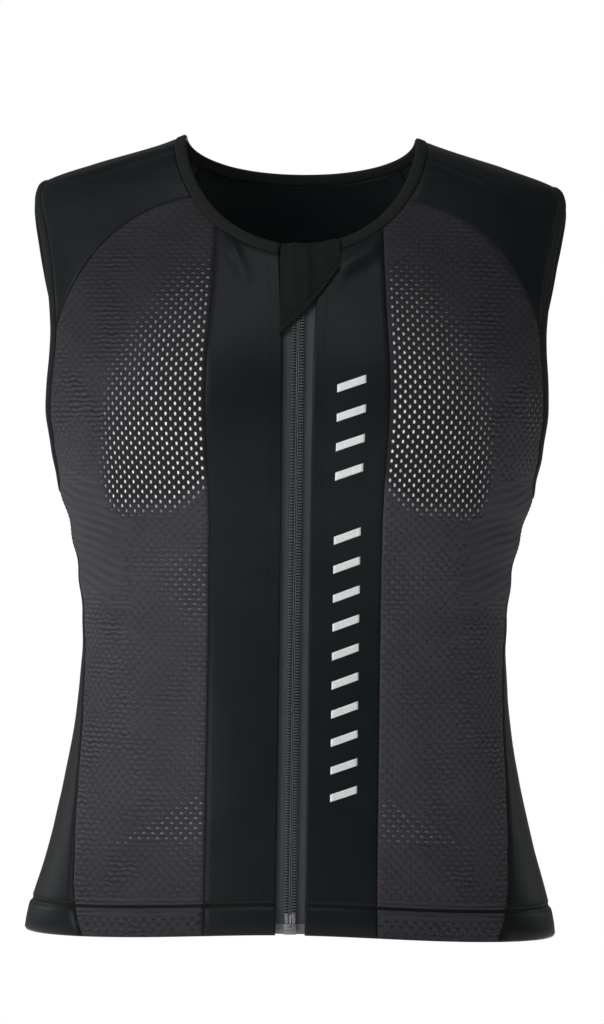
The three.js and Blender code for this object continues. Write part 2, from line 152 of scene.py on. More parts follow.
def seenFromFront(x, z, ahead=True):
    level = levelAt(z)
    _, half, front, back, square = sectionAt(level)
    share = np.maximum(0, 1 - (np.abs(x) / half) ** square) ** (1 / square)
    angle = np.arctan2(x, np.where(ahead, front, -back) * share)
    return np.stack(np.broadcast_arrays(angle, level), -1)


def seenFromSide(y, z):
    level = levelAt(z)
    _, half, front, back, square = sectionAt(level)
    share = np.maximum(0, 1 - (np.abs(y) / np.where(y < 0, front, back)) ** square) ** (1 / square)
    return np.stack([np.arctan2(half * share, -y), level], -1)


def beside(curve, at, width):  # places a short way across the cloth from a curve, square to it
    start = curve(at)
    along = unit(surfacePoints(curve(at + probe)) - surfacePoints(curve(at - probe)))
    aim = surfacePoints(start) + np.cross(along, outward(start)) * width
    places = start.copy()
    for attempt in range(6):
        around, up = waysAlong(places)
        miss = surfacePoints(places) - aim
        rr, ru, uu = (around * around).sum(-1), (around * up).sum(-1), (up * up).sum(-1)
        rm, um = (around * miss).sum(-1), (up * miss).sum(-1)
        scale = rr * uu - ru * ru
        places[..., 0] -= (uu * rm - ru * um) / scale
        places[..., 1] -= (rr * um - ru * rm) / scale
    return places


# Edges and seams of the wearer's left half
neck = {"half": 82, "front": 83.5, "back": 22, "binding": 8}
armhole = {"middle": -145, "rise": 107, "ahead": 52, "behind": 46, "narrowing": 0.3, "power": 1.4,
           "steps": 40, "binding": 6.5}
neckAt = {"zip": 9, "placket": 40, "yokeFront": 57, "yokeBack": 125, "centreBack": 180}
armAt = {"yokeFront": 10, "sideFront": 19, "sideBack": 24, "yokeBack": 31}
seams = {"frontHem": -81, "frontBend": (-12, -400), "backHem": 62, "backBend": (50, -400),
         "yokeBend": (147, -62), "backYokeBend": (128, -112), "zipEdge": 10.2, "placketEdge": 60,
         "placketBend": 100, "pinch": 0.3, "aboveHem": 4}
hemHeights = np.array([0, 1.5, 9, 16.5, 19, 20.2, 22.4, 23.6, 25.5, 28])  # rows up the hem, from its edge
hemHalf = np.array([0.7, 1.9, 2.1, 2.0, 1.7, 0.2, 0.2, 1.0, 0.9, 0.9])  # half the cloth's thickness there


def neckEdge(degrees):
    turn = np.radians(degrees)
    ahead = np.cos(turn) > 0
    drop = np.where(ahead, neck["front"], neck["back"])
    return seenFromFront(neck["half"] * np.sin(turn), -drop * np.abs(np.cos(turn)), ahead)


def armEdge(step):
    turn = step * 2 * np.pi / armhole["steps"]
    reach = np.where(np.sin(turn) > 0, armhole["ahead"], armhole["behind"])
    narrow = 1 - armhole["narrowing"] * np.maximum(0, np.cos(turn)) ** armhole["power"]
    return seenFromSide(-reach * np.sin(turn) * narrow, armhole["middle"] + armhole["rise"] * np.cos(turn))


def neckSeam(degrees):
    return beside(neckEdge, degrees, neck["binding"])


def armSeam(step):
    return beside(armEdge, step, armhole["binding"])


def neckRun(start, end, steps):
    return neckSeam(np.linspace(neckAt[start], neckAt[end], steps + 1))


def armRun(start, end, steps):
    return armSeam(np.linspace(start, end, steps + 1))


def climb(top, steps):
    above = np.linspace(hem["z"] + hemHeights[-1] + seams["aboveHem"], top, steps)
    return np.concatenate([hem["z"] + hemHeights, above])


def bend(start, middle, end, steps):
    t = np.linspace(0, 1, steps + 1)[:, None]
    return np.array(start) * (1 - t) ** 2 + np.array(middle) * 2 * t * (1 - t) + np.array(end) * t ** 2


def sideSeam(hemY, middle, end, steps):
    top = surfacePoints(end)
    curve = bend((hemY, hem["z"]), middle, top[1:], 400)
    heights = climb(top[2], steps)
    places = seenFromSide(np.interp(heights, curve[:, 1], curve[:, 0]), heights)
    places[-1] = end
    return places


def shoulderSeam(start, end, middle, ahead, steps):
    curve = bend(surfacePoints(start)[[0, 2]], middle, surfacePoints(end)[[0, 2]], steps)
    places = seenFromFront(curve[:, 0], curve[:, 1], ahead)
    places[0], places[-1] = start, end
    return places


def frontLine(x, end, steps):
    top = surfacePoints(end)
    heights = climb(top[2], steps)
    ease = np.maximum(0, 1 - (top[2] - heights) / seams["placketBend"])
    places = seenFromFront(mix(x, top[0], ease ** 2), heights)
    places[-1] = end
    return places


def joined(*runs):
    return np.concatenate([runs[0]] + [run[1:] for run in runs[1:]])


def mirrored(places):  # the same places on the other half, going on round the back
    return np.stack([2 * np.pi - places[..., 0], places[..., 1]], -1)


def hemRun(start, end, steps):
    return np.stack([np.linspace(start[0], end[0], steps + 1), np.zeros(steps + 1)], -1)


armFront = armRun(armAt["sideFront"], armAt["yokeFront"], 36)
armUnder = armRun(armAt["sideFront"], armAt["sideBack"], 24)
armBack = armRun(armAt["sideBack"], armAt["yokeBack"], 28)
armOver = armRun(armAt["yokeFront"], armAt["yokeBack"] - armhole["steps"], 60)
neckOverPlacket = neckRun("zip", "placket", 18)
neckOverMesh = neckRun("placket", "yokeFront", 8)
neckOverYoke = neckRun("yokeFront", "yokeBack", 60)
neckBehind = neckRun("yokeBack", "centreBack", 28)
frontSeam = sideSeam(seams["frontHem"], seams["frontBend"], armFront[0], 60)
backSeam = sideSeam(seams["backHem"], seams["backBend"], armBack[0], 60)
yokeFront = shoulderSeam(neckOverYoke[0], armOver[0], seams["yokeBend"], True, 28)
yokeBack = shoulderSeam(neckOverYoke[-1], armOver[-1], seams["backYokeBend"], False, 28)
placketEdge = frontLine(seams["placketEdge"], neckOverPlacket[-1], 100)
zipEdge = frontLine(seams["zipEdge"], neckOverPlacket[0], 100)
print("seams drawn")


# Nets of places between seams, and the walls and pieces made on them
def alongRun(run, share):
    at, index = share * (len(run) - 1), np.arange(len(run))
    return np.stack([np.interp(at, index, run[:, k]) for k in (0, 1)], -1)


def besideRun(run, percents, width):
    return beside(lambda percent: alongRun(run, percent / 100), percents, width)


def netBetween(left, right, bottom, top, u, v):  # left and right run up, bottom and top from left to right
    s, t = u[None, :, None], v[:, None, None]
    across = mix(alongRun(left, v)[:, None], alongRun(right, v)[:, None], s)
    upward = mix(alongRun(bottom, u)[None], alongRun(top, u)[None], t)
    return across + upward - mix(mix(bottom[0], bottom[-1], s), mix(top[0], top[-1], s), t)


def edgedShares(count, edge):  # even steps with one narrow step at each end
    return np.concatenate([[0], np.linspace(edge, 1 - edge, count), [1]])


def rowShares(run):  # a row at each place of a run, and one more just short of its end
    rows = np.arange(len(run), dtype=float)
    return np.insert(rows, -1, rows[-1] - 0.3) / rows[-1]


def hemThickness(places):  # half the cloth's thickness at each place
    return np.interp(sectionAt(places[..., 1])[0] - hem["z"], hemHeights, hemHalf)


def halfCloth(net, seamSides):  # half the thickness of a panel, thinned down into its seams
    half = hemThickness(net)
    rims = {"l": np.s_[:, 0], "r": np.s_[:, -1], "t": np.s_[-1], "b": np.s_[0]}
    for side in seamSides:
        half[rims[side]] *= seams["pinch"]
    return half


def lengths(points, axis):  # distance run along a grid of points
    steps = np.linalg.norm(np.diff(points, axis=axis), axis=-1)
    start = np.zeros_like(np.take(steps, [0], axis))
    return np.concatenate([start, np.cumsum(steps, axis)], axis)


def areaOf(points):  # of a grid of points, in square metres
    a, b = np.diff(points, axis=0)[:, :-1], np.diff(points, axis=1)[:-1]
    return float(np.linalg.norm(np.cross(a, b), axis=-1).sum()) * mm * mm


def gridInto(bm, rows, columns):  # a flat grid whose corners are numbered row by row
    spot = bm.verts.layers.int.get("spot") or bm.verts.layers.int.new("spot")
    made = bmesh.ops.create_grid(bm, x_segments=columns, y_segments=rows, size=0.5)["verts"]
    for vert in made:
        row, column = round((vert.co.y + 0.5) * rows), round((vert.co.x + 0.5) * columns)
        vert[spot] = row * (columns + 1) + column
    return made, spot


def layCloth(bm, faces, points, spot):  # cloth coordinates in metres, run along a grid of points
    uv = bm.loops.layers.uv.get("cloth") or bm.loops.layers.uv.new("cloth")
    flat = np.stack([lengths(points, 1), lengths(points, 0)], -1).reshape(-1, 2) * mm
    for face in faces:
        for loop in face.loops:
            loop[uv].uv = flat[loop.vert[spot]]


def facesOn(verts):
    return list(dict.fromkeys(face for vert in verts for face in vert.link_faces))


def wallInto(bm, inner, outer):  # a closed wall between two grids of points
    made, spot = gridInto(bm, outer.shape[0] - 1, outer.shape[1] - 1)
    low, high = inner.reshape(-1, 3) * mm, outer.reshape(-1, 3) * mm
    for vert in made:
        vert.co = low[vert[spot]]
    grown = bmesh.ops.extrude_face_region(bm, geom=facesOn(made))["geom"]
    for vert in (g for g in grown if isinstance(g, bmesh.types.BMVert)):
        vert.co = high[vert[spot]]
        made.append(vert)
    faces = facesOn(made)
    bmesh.ops.recalc_face_normals(bm, faces=faces)
    layCloth(bm, faces, outer, spot)
    return faces


def pieceFrom(bm, name, materials, nodes=()):
    mesh = bpy.data.meshes.new(name)
    bm.to_mesh(mesh)
    bm.free()
    mesh.shade_smooth()
    for material in materials:
        mesh.materials.append(material)
    piece = bpy.data.objects.new(name, mesh)
    bpy.context.scene.collection.objects.link(piece)
    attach(piece, "root")
    if nodes:
        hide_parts(*nodes)
    return piece


# Nodes, and the shader groups that several finishes share
def addNode(tree, kind, inputs=None, **settings):
    node = tree.nodes.new("ShaderNode" + kind)
    for key, value in settings.items():
        setattr(node, key, value)
    for key, value in (inputs or {}).items():
        if isinstance(value, bpy.types.NodeSocket):
            tree.links.new(value, node.inputs[key])
        else:
            node.inputs[key].default_value = value
    return node


def maths(tree, operation, *values):
    return addNode(tree, "Math", dict(enumerate(values)), operation=operation).outputs[0]


def ranged(tree, value, start=0.0, end=1.0, low=0.0, high=1.0):
    ends = {"Value": value, "From Min": start, "From Max": end, "To Min": low, "To Max": high}
    return addNode(tree, "MapRange", ends).outputs["Result"]


def speckle(tree, vector, scale, detail, roughness=0.5):
    look = {"Vector": vector, "Scale": scale, "Detail": detail, "Roughness": roughness}
    return addNode(tree, "TexNoise", look).outputs["Fac"]


def blended(tree, share, a, b):
    return addNode(tree, "Mix", {0: share, 2: a, 3: b}).outputs[0]


def tinted(tree, share, a, b, blend="MIX"):
    return addNode(tree, "Mix", {0: share, 6: a, 7: b}, data_type="RGBA", blend_type=blend).outputs[2]


def splitOf(tree, vector):
    return addNode(tree, "SeparateXYZ", {"Vector": vector}).outputs


def attributeOf(tree, name):
    return addNode(tree, "Attribute", attribute_name=name, attribute_type="GEOMETRY").outputs["Fac"]


def grouped(tree, group, **inputs):
    return addNode(tree, "Group", inputs, node_tree=group).outputs


def newGroup(name, outputs, **inputs):
    group = bpy.data.node_groups.new(name, "ShaderNodeTree")
    group.interface.new_socket("Cloth", in_out="INPUT", socket_type="NodeSocketVector")
    for label, value in inputs.items():
        socket = group.interface.new_socket(label, in_out="INPUT", socket_type="NodeSocketFloat")
        socket.default_value = value
    for label in outputs:
        group.interface.new_socket(label, in_out="OUTPUT", socket_type="NodeSocketFloat")
    return group, group.nodes.new("NodeGroupInput").outputs, group.nodes.new("NodeGroupOutput").inputs


knitLook = {"roughness": 0.6, "mottle": 22.0, "stitchShare": 0.55, "mottleShare": 0.45,
            "bump": 0.0004}
lintLook = {"scale": 520.0, "sharp": (0.66, 0.8), "colour": (0.3, 0.3, 0.3, 1)}
ribLook = {"rows": 288.6, "wander": 150.0, "patches": 34.0, "strong": (0.35, 0.65)}


def knitGrainGroup():  # fine stitch columns of a knit, with a slow mottle over them
    group, start, end = newGroup("knit grain", ("Height", "Tone"), Across=900.0, Along=350.0)
    scale = addNode(group, "CombineXYZ", {"X": start["Across"], "Y": start["Along"], "Z": 1.0}).outputs[0]
    fine = addNode(group, "VectorMath", {0: start["Cloth"], 1: scale}, operation="MULTIPLY").outputs[0]
    stitch = speckle(group, fine, 1.0, 2.0, knitLook["roughness"])
    slow = speckle(group, start["Cloth"], knitLook["mottle"], 3.0)
    tone = maths(group, "MULTIPLY", stitch, knitLook["stitchShare"])
    group.links.new(stitch, end["Height"])
    group.links.new(maths(group, "MULTIPLY_ADD", slow, knitLook["mottleShare"], tone), end["Tone"])
    return group


def weaveGroup():  # over and under of a woven tape
    group, start, end = newGroup("tape weave", ("Height",), Across=5200.0, Along=3600.0)
    split = splitOf(group, start["Cloth"])
    warp = maths(group, "SINE", maths(group, "MULTIPLY", split["X"], start["Across"]))
    weft = maths(group, "SINE", maths(group, "MULTIPLY", split["Y"], start["Along"]))
    group.links.new(maths(group, "MULTIPLY", warp, weft), end["Height"])
    return group


def lintGroup():  # sparse pale fluff on dark cloth
    group, start, end = newGroup("lint", ("Mask",), Amount=0.25)
    specks = ranged(group, speckle(group, start["Cloth"], lintLook["scale"], 4.0), *lintLook["sharp"])
    group.links.new(maths(group, "MULTIPLY", specks, start["Amount"]), end["Mask"])
    return group


def courseRibsGroup():  # shallow wavy ribs across a knit, one to each row of holes
    group, start, end = newGroup("course ribs", ("Height",), Rows=ribLook["rows"])
    wander = speckle(group, start["Cloth"], ribLook["wander"], 2.0)
    rows = maths(group, "MULTIPLY_ADD", splitOf(group, start["Cloth"])["Y"], start["Rows"], wander)
    wave = maths(group, "COSINE", maths(group, "MULTIPLY", rows, 2 * math.pi))
    strong = ranged(group, speckle(group, start["Cloth"], ribLook["patches"], 2.0), *ribLook["strong"])
    height = maths(group, "MULTIPLY", wave, strong)
    group.links.new(maths(group, "MULTIPLY_ADD", height, 0.5, 0.5), end["Height"])
    return group


knitGrain, tapeWeave, lint, courseRibs = knitGrainGroup(), weaveGroup(), lintGroup(), courseRibsGroup()


def newFinish(name, **constants):
    material = bpy.data.materials.new(name)
    material.use_nodes = True
    shader = material.node_tree.nodes["Principled BSDF"].inputs
    for key, value in constants.items():
        shader[key.replace("_", " ")].default_value = value
    return material, material.node_tree, shader


def rampOf(tree, value, *colours):
    ramp = addNode(tree, "ValToRGB", {"Fac": value})
    for element, (position, colour) in zip(ramp.color_ramp.elements, colours):
        element.position, element.color = position, (*colour, 1)
    return ramp.outputs["Color"]


def bumpInto(tree, shader, height, strength, distance):
    node = addNode(tree, "Bump", {"Height": height, "Strength": strength, "Distance": distance})
    tree.links.new(node.outputs["Normal"], shader["Normal"])


def knitStart(name, dark, light, rough, grain, lintAmount, **constants):
    material, tree, shader = newFinish(name, **constants)
    cloth = addNode(tree, "UVMap", uv_map="cloth").outputs["UV"]
    knit = grouped(tree, knitGrain, Cloth=cloth, Across=grain[0], Along=grain[1])
    fluff = grouped(tree, lint, Cloth=cloth, Amount=lintAmount)["Mask"]
    colour = rampOf(tree, knit["Tone"], (0.3, dark), (0.7, light))
    tree.links.new(ranged(tree, knit["Tone"], low=rough[0], high=rough[1]), shader["Roughness"])
    return material, shader, cloth, tinted(tree, fluff, colour, lintLook["colour"]), knit["Height"]


def knitFinish(name, dark, light, rough, grain, lintAmount, bump, **constants):
    look = (dark, light, rough, grain, lintAmount)
    material, shader, _, colour, height = knitStart(name, *look, **constants)
    material.node_tree.links.new(colour, shader["Base Color"])
    bumpInto(material.node_tree, shader, height, bump, knitLook["bump"])
    return material


tapeLook = {"grain": 700.0, "weave": 0.5, "bump": (0.5, 0.0003)}


def tapeFinish(name, dark, light, roughness, across, along, **constants):
    material, tree, shader = newFinish(name, Roughness=roughness, **constants)
    cloth = addNode(tree, "UVMap", uv_map="cloth").outputs["UV"]
    weave = grouped(tree, tapeWeave, Cloth=cloth, Across=across, Along=along)["Height"]
    knit = grouped(tree, knitGrain, Cloth=cloth, Across=tapeLook["grain"], Along=tapeLook["grain"])["Tone"]
    height = maths(tree, "MULTIPLY_ADD", weave, tapeLook["weave"], knit)
    tree.links.new(rampOf(tree, height, (0.0, dark), (1.0, light)), shader["Base Color"])
    bumpInto(tree, shader, height, *tapeLook["bump"])
    return material


dull = 0.07  # reflection of dyed cloth
yarn = {"dark": (0.029, 0.0275, 0.033), "light": (0.0505, 0.048, 0.0565),
        "strained": (0.016, 0.015, 0.018, 1), "rough": (0.7, 0.9), "grain": (1400.0, 700.0), "lint": 0.1,
        "bump": (0.6, 0.0006), "fold": 0.27,
        "towardsTop": (-0.25, -0.1, 1.0, 0.5), "low": (-0.56, -0.47, 0.68, 1.0), "ribs": (0.08, 0.14, 0.5, 1.2),
        "foldsFrom": (-0.352, -0.315), "foldsTo": (-0.228, -0.258), "foldsAside": (0.098, 0.132)}


def meshYarnFinish():  # ribbed knit of the mesh, darker where it is stretched open
    material, shader, cloth, colour, fine = knitStart(
        "mesh yarn", yarn["dark"], yarn["light"], yarn["rough"], yarn["grain"], yarn["lint"],
        Sheen_Weight=0.03, Sheen_Roughness=0.5, Specular_IOR_Level=dull)
    tree = material.node_tree
    ribs = grouped(tree, courseRibs, Cloth=cloth)["Height"]
    spot = splitOf(tree, addNode(tree, "TexCoord").outputs["Object"])
    aside = maths(tree, "ABSOLUTE", spot["X"])
    wave = maths(tree, "SUBTRACT", ribs, 0.5)
    ribShade = maths(tree, "MULTIPLY_ADD", wave, ranged(tree, aside, *yarn["ribs"]), 1.0)
    over, under = (ranged(tree, spot["Z"], *yarn[key]) for key in ("foldsFrom", "foldsTo"))
    band = maths(tree, "MULTIPLY", over, under)
    folded = maths(tree, "MULTIPLY", band, ranged(tree, aside, *yarn["foldsAside"]))
    foldShade = maths(tree, "MULTIPLY_ADD", attributeOf(tree, "fold"), yarn["fold"], 1.0)
    # tone darker towards the top of the chest and towards the hem
    towardsTop, low = (ranged(tree, spot["Z"], *yarn[key]) for key in ("towardsTop", "low"))
    shade = blended(tree, folded, ribShade, foldShade)
    tone = maths(tree, "MULTIPLY", maths(tree, "MULTIPLY", towardsTop, low), shade)
    ribbed = tinted(tree, 1.0, colour, tone, "MULTIPLY")
    strained = tinted(tree, attributeOf(tree, "paleness"), ribbed, yarn["strained"])
    tree.links.new(strained, shader["Base Color"])
    bumpInto(tree, shader, maths(tree, "ADD", blended(tree, folded, ribs, 0.5), fine), *yarn["bump"])
    return material


def backingFinish():  # inner knit behind the holes, pale where the mesh is stretched over the chest
    material, tree, shader = newFinish("mesh backing", Roughness=0.8)
    shown = attributeOf(tree, "paleness")
    colour = rampOf(tree, shown, (0.0, (0.018, 0.017, 0.02)), (1.0, (0.95, 0.94, 0.92)))
    tree.links.new(colour, shader["Base Color"])
    return material


def speckledFinish(name, scale, detail, dark, light, rough, bump=0, **constants):
    material, tree, shader = newFinish(name, **constants)
    specks = speckle(tree, addNode(tree, "TexCoord").outputs["Object"], scale, detail)
    tree.links.new(rampOf(tree, specks, (0.3, dark), (0.7, light)), shader["Base Color"])
    tree.links.new(ranged(tree, specks, low=rough[0], high=rough[1]), shader["Roughness"])
    if bump:
        bumpInto(tree, shader, specks, bump, 0.0002)
    return material


stretchCloth = knitFinish("stretch cloth", (0.0045, 0.0062, 0.007), (0.008, 0.0102, 0.0114), (0.36, 0.46),
                          (1500.0, 500.0), 0.04, 0.12,
                          Sheen_Weight=0.012, Sheen_Roughness=0.4, Specular_IOR_Level=0.09)
meshYarn = meshYarnFinish()
padCover = knitFinish("pad cover", (0.013, 0.015, 0.0165), (0.024, 0.027, 0.0295), (0.5, 0.66),
                      (1200.0, 1200.0), 0.04, 0.15,
                      Sheen_Weight=0.03, Sheen_Roughness=0.4, Specular_IOR_Level=dull)
brushedCloth = knitFinish("brushed cloth", (0.006, 0.0068, 0.0068), (0.011, 0.0115, 0.0115), (0.85, 1.0),
                          (900.0, 900.0), 0.2, 0.6,
                          Sheen_Weight=0.01, Sheen_Roughness=0.7, Specular_IOR_Level=0.04)
bindingTape = tapeFinish("binding tape", (0.007, 0.0081, 0.008), (0.015, 0.0165, 0.017), 0.7, 5000.0, 3000.0,
                         Sheen_Weight=0.015, Specular_IOR_Level=dull)
zipTape = tapeFinish("zip tape", (0.028, 0.033, 0.036), (0.06, 0.067, 0.072), 0.75, 5200.0, 3600.0,
                     Sheen_Weight=0.03, Specular_IOR_Level=dull)
# near-black sewing yarn, darker than the cloth, so that the stitches and seams carry painted shade of their
# holes and grooves
threadAndSeamShade = tapeFinish("sewing thread", (0.0025, 0.003, 0.003), (0.006, 0.0065, 0.007), 0.6, 9000.0, 9000.0,
                    Specular_IOR_Level=0.1)
zipFilm = speckledFinish("zip film", 600.0, 3.0, (0.072, 0.07, 0.084), (0.118, 0.114, 0.134), (0.35, 0.6))
zipNylon = speckledFinish("zip nylon", 600.0, 3.0, (0.022, 0.025, 0.026), (0.04, 0.044, 0.046), (0.35, 0.6))
zipMetal = speckledFinish("zip metal", 900.0, 4.0, (0.09, 0.09, 0.095), (0.2, 0.2, 0.2), (0.3, 0.55), 0.15,
                          Metallic=0.4)
meshBacking = backingFinish()
reflectivePrint = speckledFinish("reflective print", 1500.0, 2.0, (0.5, 0.51, 0.52), (0.72, 0.73, 0.74),
                                 (0.3, 0.5), Metallic=0.15)
print("finishes made")


# Perforated mesh fronts, cut flat with straight grain and wrapped on the vest's surface
sides = ((1, "left"), (-1, "right"))
meshFront = {"cell": 4.9, "count": 116, "shift": 0.05, "half": 0.9, "rim": 0.15, "inset": 0.9, "clear": 0.4,
             "hemSteps": 40, "flat": (0.185, 0.56)}
# Holes, open and shut: half width, half height, drop of the rim, depth
holes = {"open": (0.95, 1.4, 0.2, 0.5), "shut": (1.9, 0.3, 0.1, 0.3),
         "shown": (0.85, 0.3, 6, 1.5), "stretch": (4.5, 0.12, 14, 7.5), "closed": (0.5, 0.8, 4, 2.2),
         "slack": 0.15, "turn": math.radians(45)}
smoothWaist = {"x": 98, "z": -291, "tall": 66, "fade": 34}  # where the holes close up
waistFolds = {"pitch": 6.9, "lean": 0.24, "rise": 0.4, "x": (98, 132), "z": (-352, -318, -258, -228),
              "wander": (0.1, 9, 21), "sway": (0.22, 15), "depth": (0.72, 0.28, 6.1, 17)}

# Zones where the pale inner knit shows, with how softly each of them ends
paleChest = {"side": (141, 14), "top": (-72, 135), "slant": ((80, -70), (138, -182)),
             "slantFade": (56, 0.18), "floorFade": 19,
             "floor": ([60, 72, 85, 120, 129, 135, 139, 142],
                       [-256, -268, -275, -278, -275, -263, -245, -220])}
paleLow = {"bottom": (-503, 6), "rise": (0.3, 105), "top": (-464, 12), "slope": (0.58, 67),
           "side": (138, 10)}
paleBeside = {"side": (112, 40), "bottom": (-535, 30), "top": (-280, 30)}
paleArm = {"x": (168, 11), "z": (-200, 24), "edge": 1.2}
paleWaist = {"x": (66, 50), "z": (-320, 28), "lean": 0.2, "edge": 1.25}
paleShares = {1: {"beside": 0.022, "waist": 0.035, "low": 0.1, "arm": 0.25},
              -1: {"beside": 0.05, "waist": 0.065, "low": 0.14, "arm": 0}}

grainLevels = np.linspace(0, 1, 300)
grainAngles = np.radians(np.linspace(0, 150, 400))
grainPoints = surfacePoints(np.stack(np.broadcast_arrays(grainAngles[None], grainLevels[:, None]), -1))
grainLine = seenFromFront(seams["placketEdge"], sectionAt(grainLevels)[0])
grainAcross = lengths(grainPoints, 1)
for row, start in zip(grainAcross, grainLine[:, 0]):
    row -= np.interp(start, grainAngles, row)
grainUp = lengths(surfacePoints(grainLine), 0)


def grainRow(level):  # grain row below a level, and how far the level lies above it
    at = level * (len(grainLevels) - 1)
    low = np.minimum(at.astype(int), len(grainLevels) - 2)
    return low, at - low


def toFabric(places):  # distance from the placket line, and up it
    low, share = grainRow(places[:, 1])
    across = [[np.interp(angle, grainAngles, grainAcross[k + d]) for d in (0, 1)]
              for angle, k in zip(places[:, 0], low)]
    return np.stack([mix(*np.array(across).T, share), np.interp(places[:, 1], grainLevels, grainUp)], -1)


def fromFabric(flat):
    level = np.interp(flat[:, 1], grainUp, grainLevels)
    low, share = grainRow(level)
    angle = np.zeros(len(flat))
    for k in np.unique(low):
        here = low == k
        ends = [np.interp(flat[here, 0], grainAcross[k + d], grainAngles) for d in (0, 1)]
        angle[here] = mix(*ends, share[here])
    return np.stack([angle, level], -1)


def insideOutline(points, outline):
    a, b = outline, np.roll(outline, -1, 0)
    x, y = points[:, :1], points[:, 1:]
    crosses = (a[:, 1] > y) != (b[:, 1] > y)
    slope = (b[:, 0] - a[:, 0]) / np.where(b[:, 1] == a[:, 1], 1e-9, b[:, 1] - a[:, 1])
    return (crosses & (x < a[:, 0] + slope * (y - a[:, 1]))).sum(1) % 2 == 1


def nearestOn(points, outline):
    a, b = outline, np.roll(outline, -1, 0)
    way = b - a
    share = ((points[:, None] - a) * way).sum(-1) / np.maximum((way * way).sum(-1), 1e-9)
    spots = a + np.clip(share, 0, 1)[..., None] * way
    best = np.linalg.norm(spots - points[:, None], axis=-1).argmin(1)
    return spots[np.arange(len(points)), best]


def above(value, end, fade):
    return smoothStep((value - end) / fade)


def below(value, end, fade):
    return smoothStep((end - value) / fade)


def away(value, middle, reach):
    return (value - middle) / reach


def palenessAt(points, side):  # how much of the pale inner knit shows
    x, z = np.abs(points[:, 0]), points[:, 2]
    shares = paleShares[side]
    (x0, z0), (x1, z1) = paleChest["slant"]
    inward = ((z1 - z0) * (x - x0) - (x1 - x0) * (z - z0)) / np.hypot(x1 - x0, z1 - z0)
    fade, start = paleChest["slantFade"]
    floor = np.interp(x, *paleChest["floor"])
    shown = below(x, *paleChest["side"]) * above(z, floor, paleChest["floorFade"])
    shown *= smoothStep(inward / fade + start) * below(z, *paleChest["top"])
    (rise, riseFrom), (slope, slopeFrom) = paleLow["rise"], paleLow["slope"]
    low = above(z + rise * np.maximum(0, x - riseFrom), *paleLow["bottom"])
    low *= below(z + slope * (x - slopeFrom), *paleLow["top"]) * below(x, *paleLow["side"])
    nearZip = shares["beside"] * below(x, *paleBeside["side"])
    nearZip *= above(z, *paleBeside["bottom"]) * below(z, *paleBeside["top"])
    arm = smoothStep(paleArm["edge"] - np.hypot(away(x, *paleArm["x"]), away(z, *paleArm["z"])))
    level = z - paleWaist["lean"] * (x - paleWaist["x"][0])
    waist = smoothStep(paleWaist["edge"] - np.hypot(away(x, *paleWaist["x"]), away(level, *paleWaist["z"])))
    patches = shares["waist"] * waist + shares["low"] * low
    return np.clip(shown + patches + nearZip * (1 - low) + shares["arm"] * arm, 0, 1)


def closedAt(points):
    inward = above(np.abs(points[:, 0]), smoothWaist["x"], smoothWaist["fade"])
    return inward * below(np.abs(points[:, 2] - smoothWaist["z"]), smoothWaist["tall"], smoothWaist["fade"])


def foldsAt(flat, points):  # small drag folds at the side of the waist
    across, up = flat[:, 0], flat[:, 1]
    where = np.interp(np.abs(points[:, 0]), waistFolds["x"], (0, 1))
    where = where * np.interp(points[:, 2], waistFolds["z"], (0, 1, 1, 0))
    (wide, a, b), (sway, c), (deep, varies, d, e) = (waistFolds[key] for key in ("wander", "sway", "depth"))
    wander = wide * np.sin(across / a + up / b) + sway * np.sin(up / c)
    turns = (up - waistFolds["lean"] * across) / waistFolds["pitch"] + wander
    return where * (deep + varies * np.sin(up / d + across / e)) * np.cos(2 * np.pi * turns)


meshRim = joined(hemRun(placketEdge[0], frontSeam[0], meshFront["hemSteps"]), frontSeam, armFront,
                 yokeFront[::-1], neckOverMesh[::-1], placketEdge[::-1])
meshOutline = toFabric(meshRim[:-1])
meshCorners = toFabric(np.array([placketEdge[0], frontSeam[0], armFront[0], armFront[-1], neckOverMesh[-1],
                                 neckOverMesh[0]]))


def meshCells():  # flat cells on the bias, trimmed to the outline and split along the rows of the hem
    middle = (meshOutline.max(0) + meshOutline.min(0)) / 2
    count, step = meshFront["count"], meshFront["cell"] * math.sqrt(0.5)
    bm = bmesh.new()
    bmesh.ops.create_grid(bm, x_segments=count, y_segments=count, size=meshFront["cell"] * count / 2)
    bmesh.ops.rotate(bm, verts=bm.verts, matrix=Matrix.Rotation(math.radians(45), 3, "Z"))
    shift = (round(middle[0] / step) * step + meshFront["shift"], middle[1], 0)
    bmesh.ops.translate(bm, verts=bm.verts, vec=shift)
    inside = insideOutline(np.array([face.calc_center_median()[:2] for face in bm.faces]), meshOutline)
    outside = [face for face, kept in zip(bm.faces, inside) if not kept]
    bmesh.ops.delete(bm, geom=outside, context="FACES")
    for attempt in range(3):  # cells that hang on by one side only
        loose = [f for f in bm.faces if sum(e.is_boundary for e in f.edges) > 2]
        bmesh.ops.delete(bm, geom=loose, context="FACES")
    border = [vert for vert in bm.verts if vert.is_boundary]
    for vert, spot in zip(border, nearestOn(np.array([vert.co[:2] for vert in border]), meshOutline)):
        vert.co = (*spot, 0)
    for x, y in meshCorners:
        min(border, key=lambda vert: (vert.co.x - x) ** 2 + (vert.co.y - y) ** 2).co = (x, y, 0)
    for up in np.interp(levelAt(hem["z"] + hemHeights[3:9]), grainLevels, grainUp):
        geom = bm.verts[:] + bm.edges[:] + bm.faces[:]
        bmesh.ops.bisect_plane(bm, geom=geom, plane_co=(0, up, 0), plane_no=(0, 1, 0))
    return bm


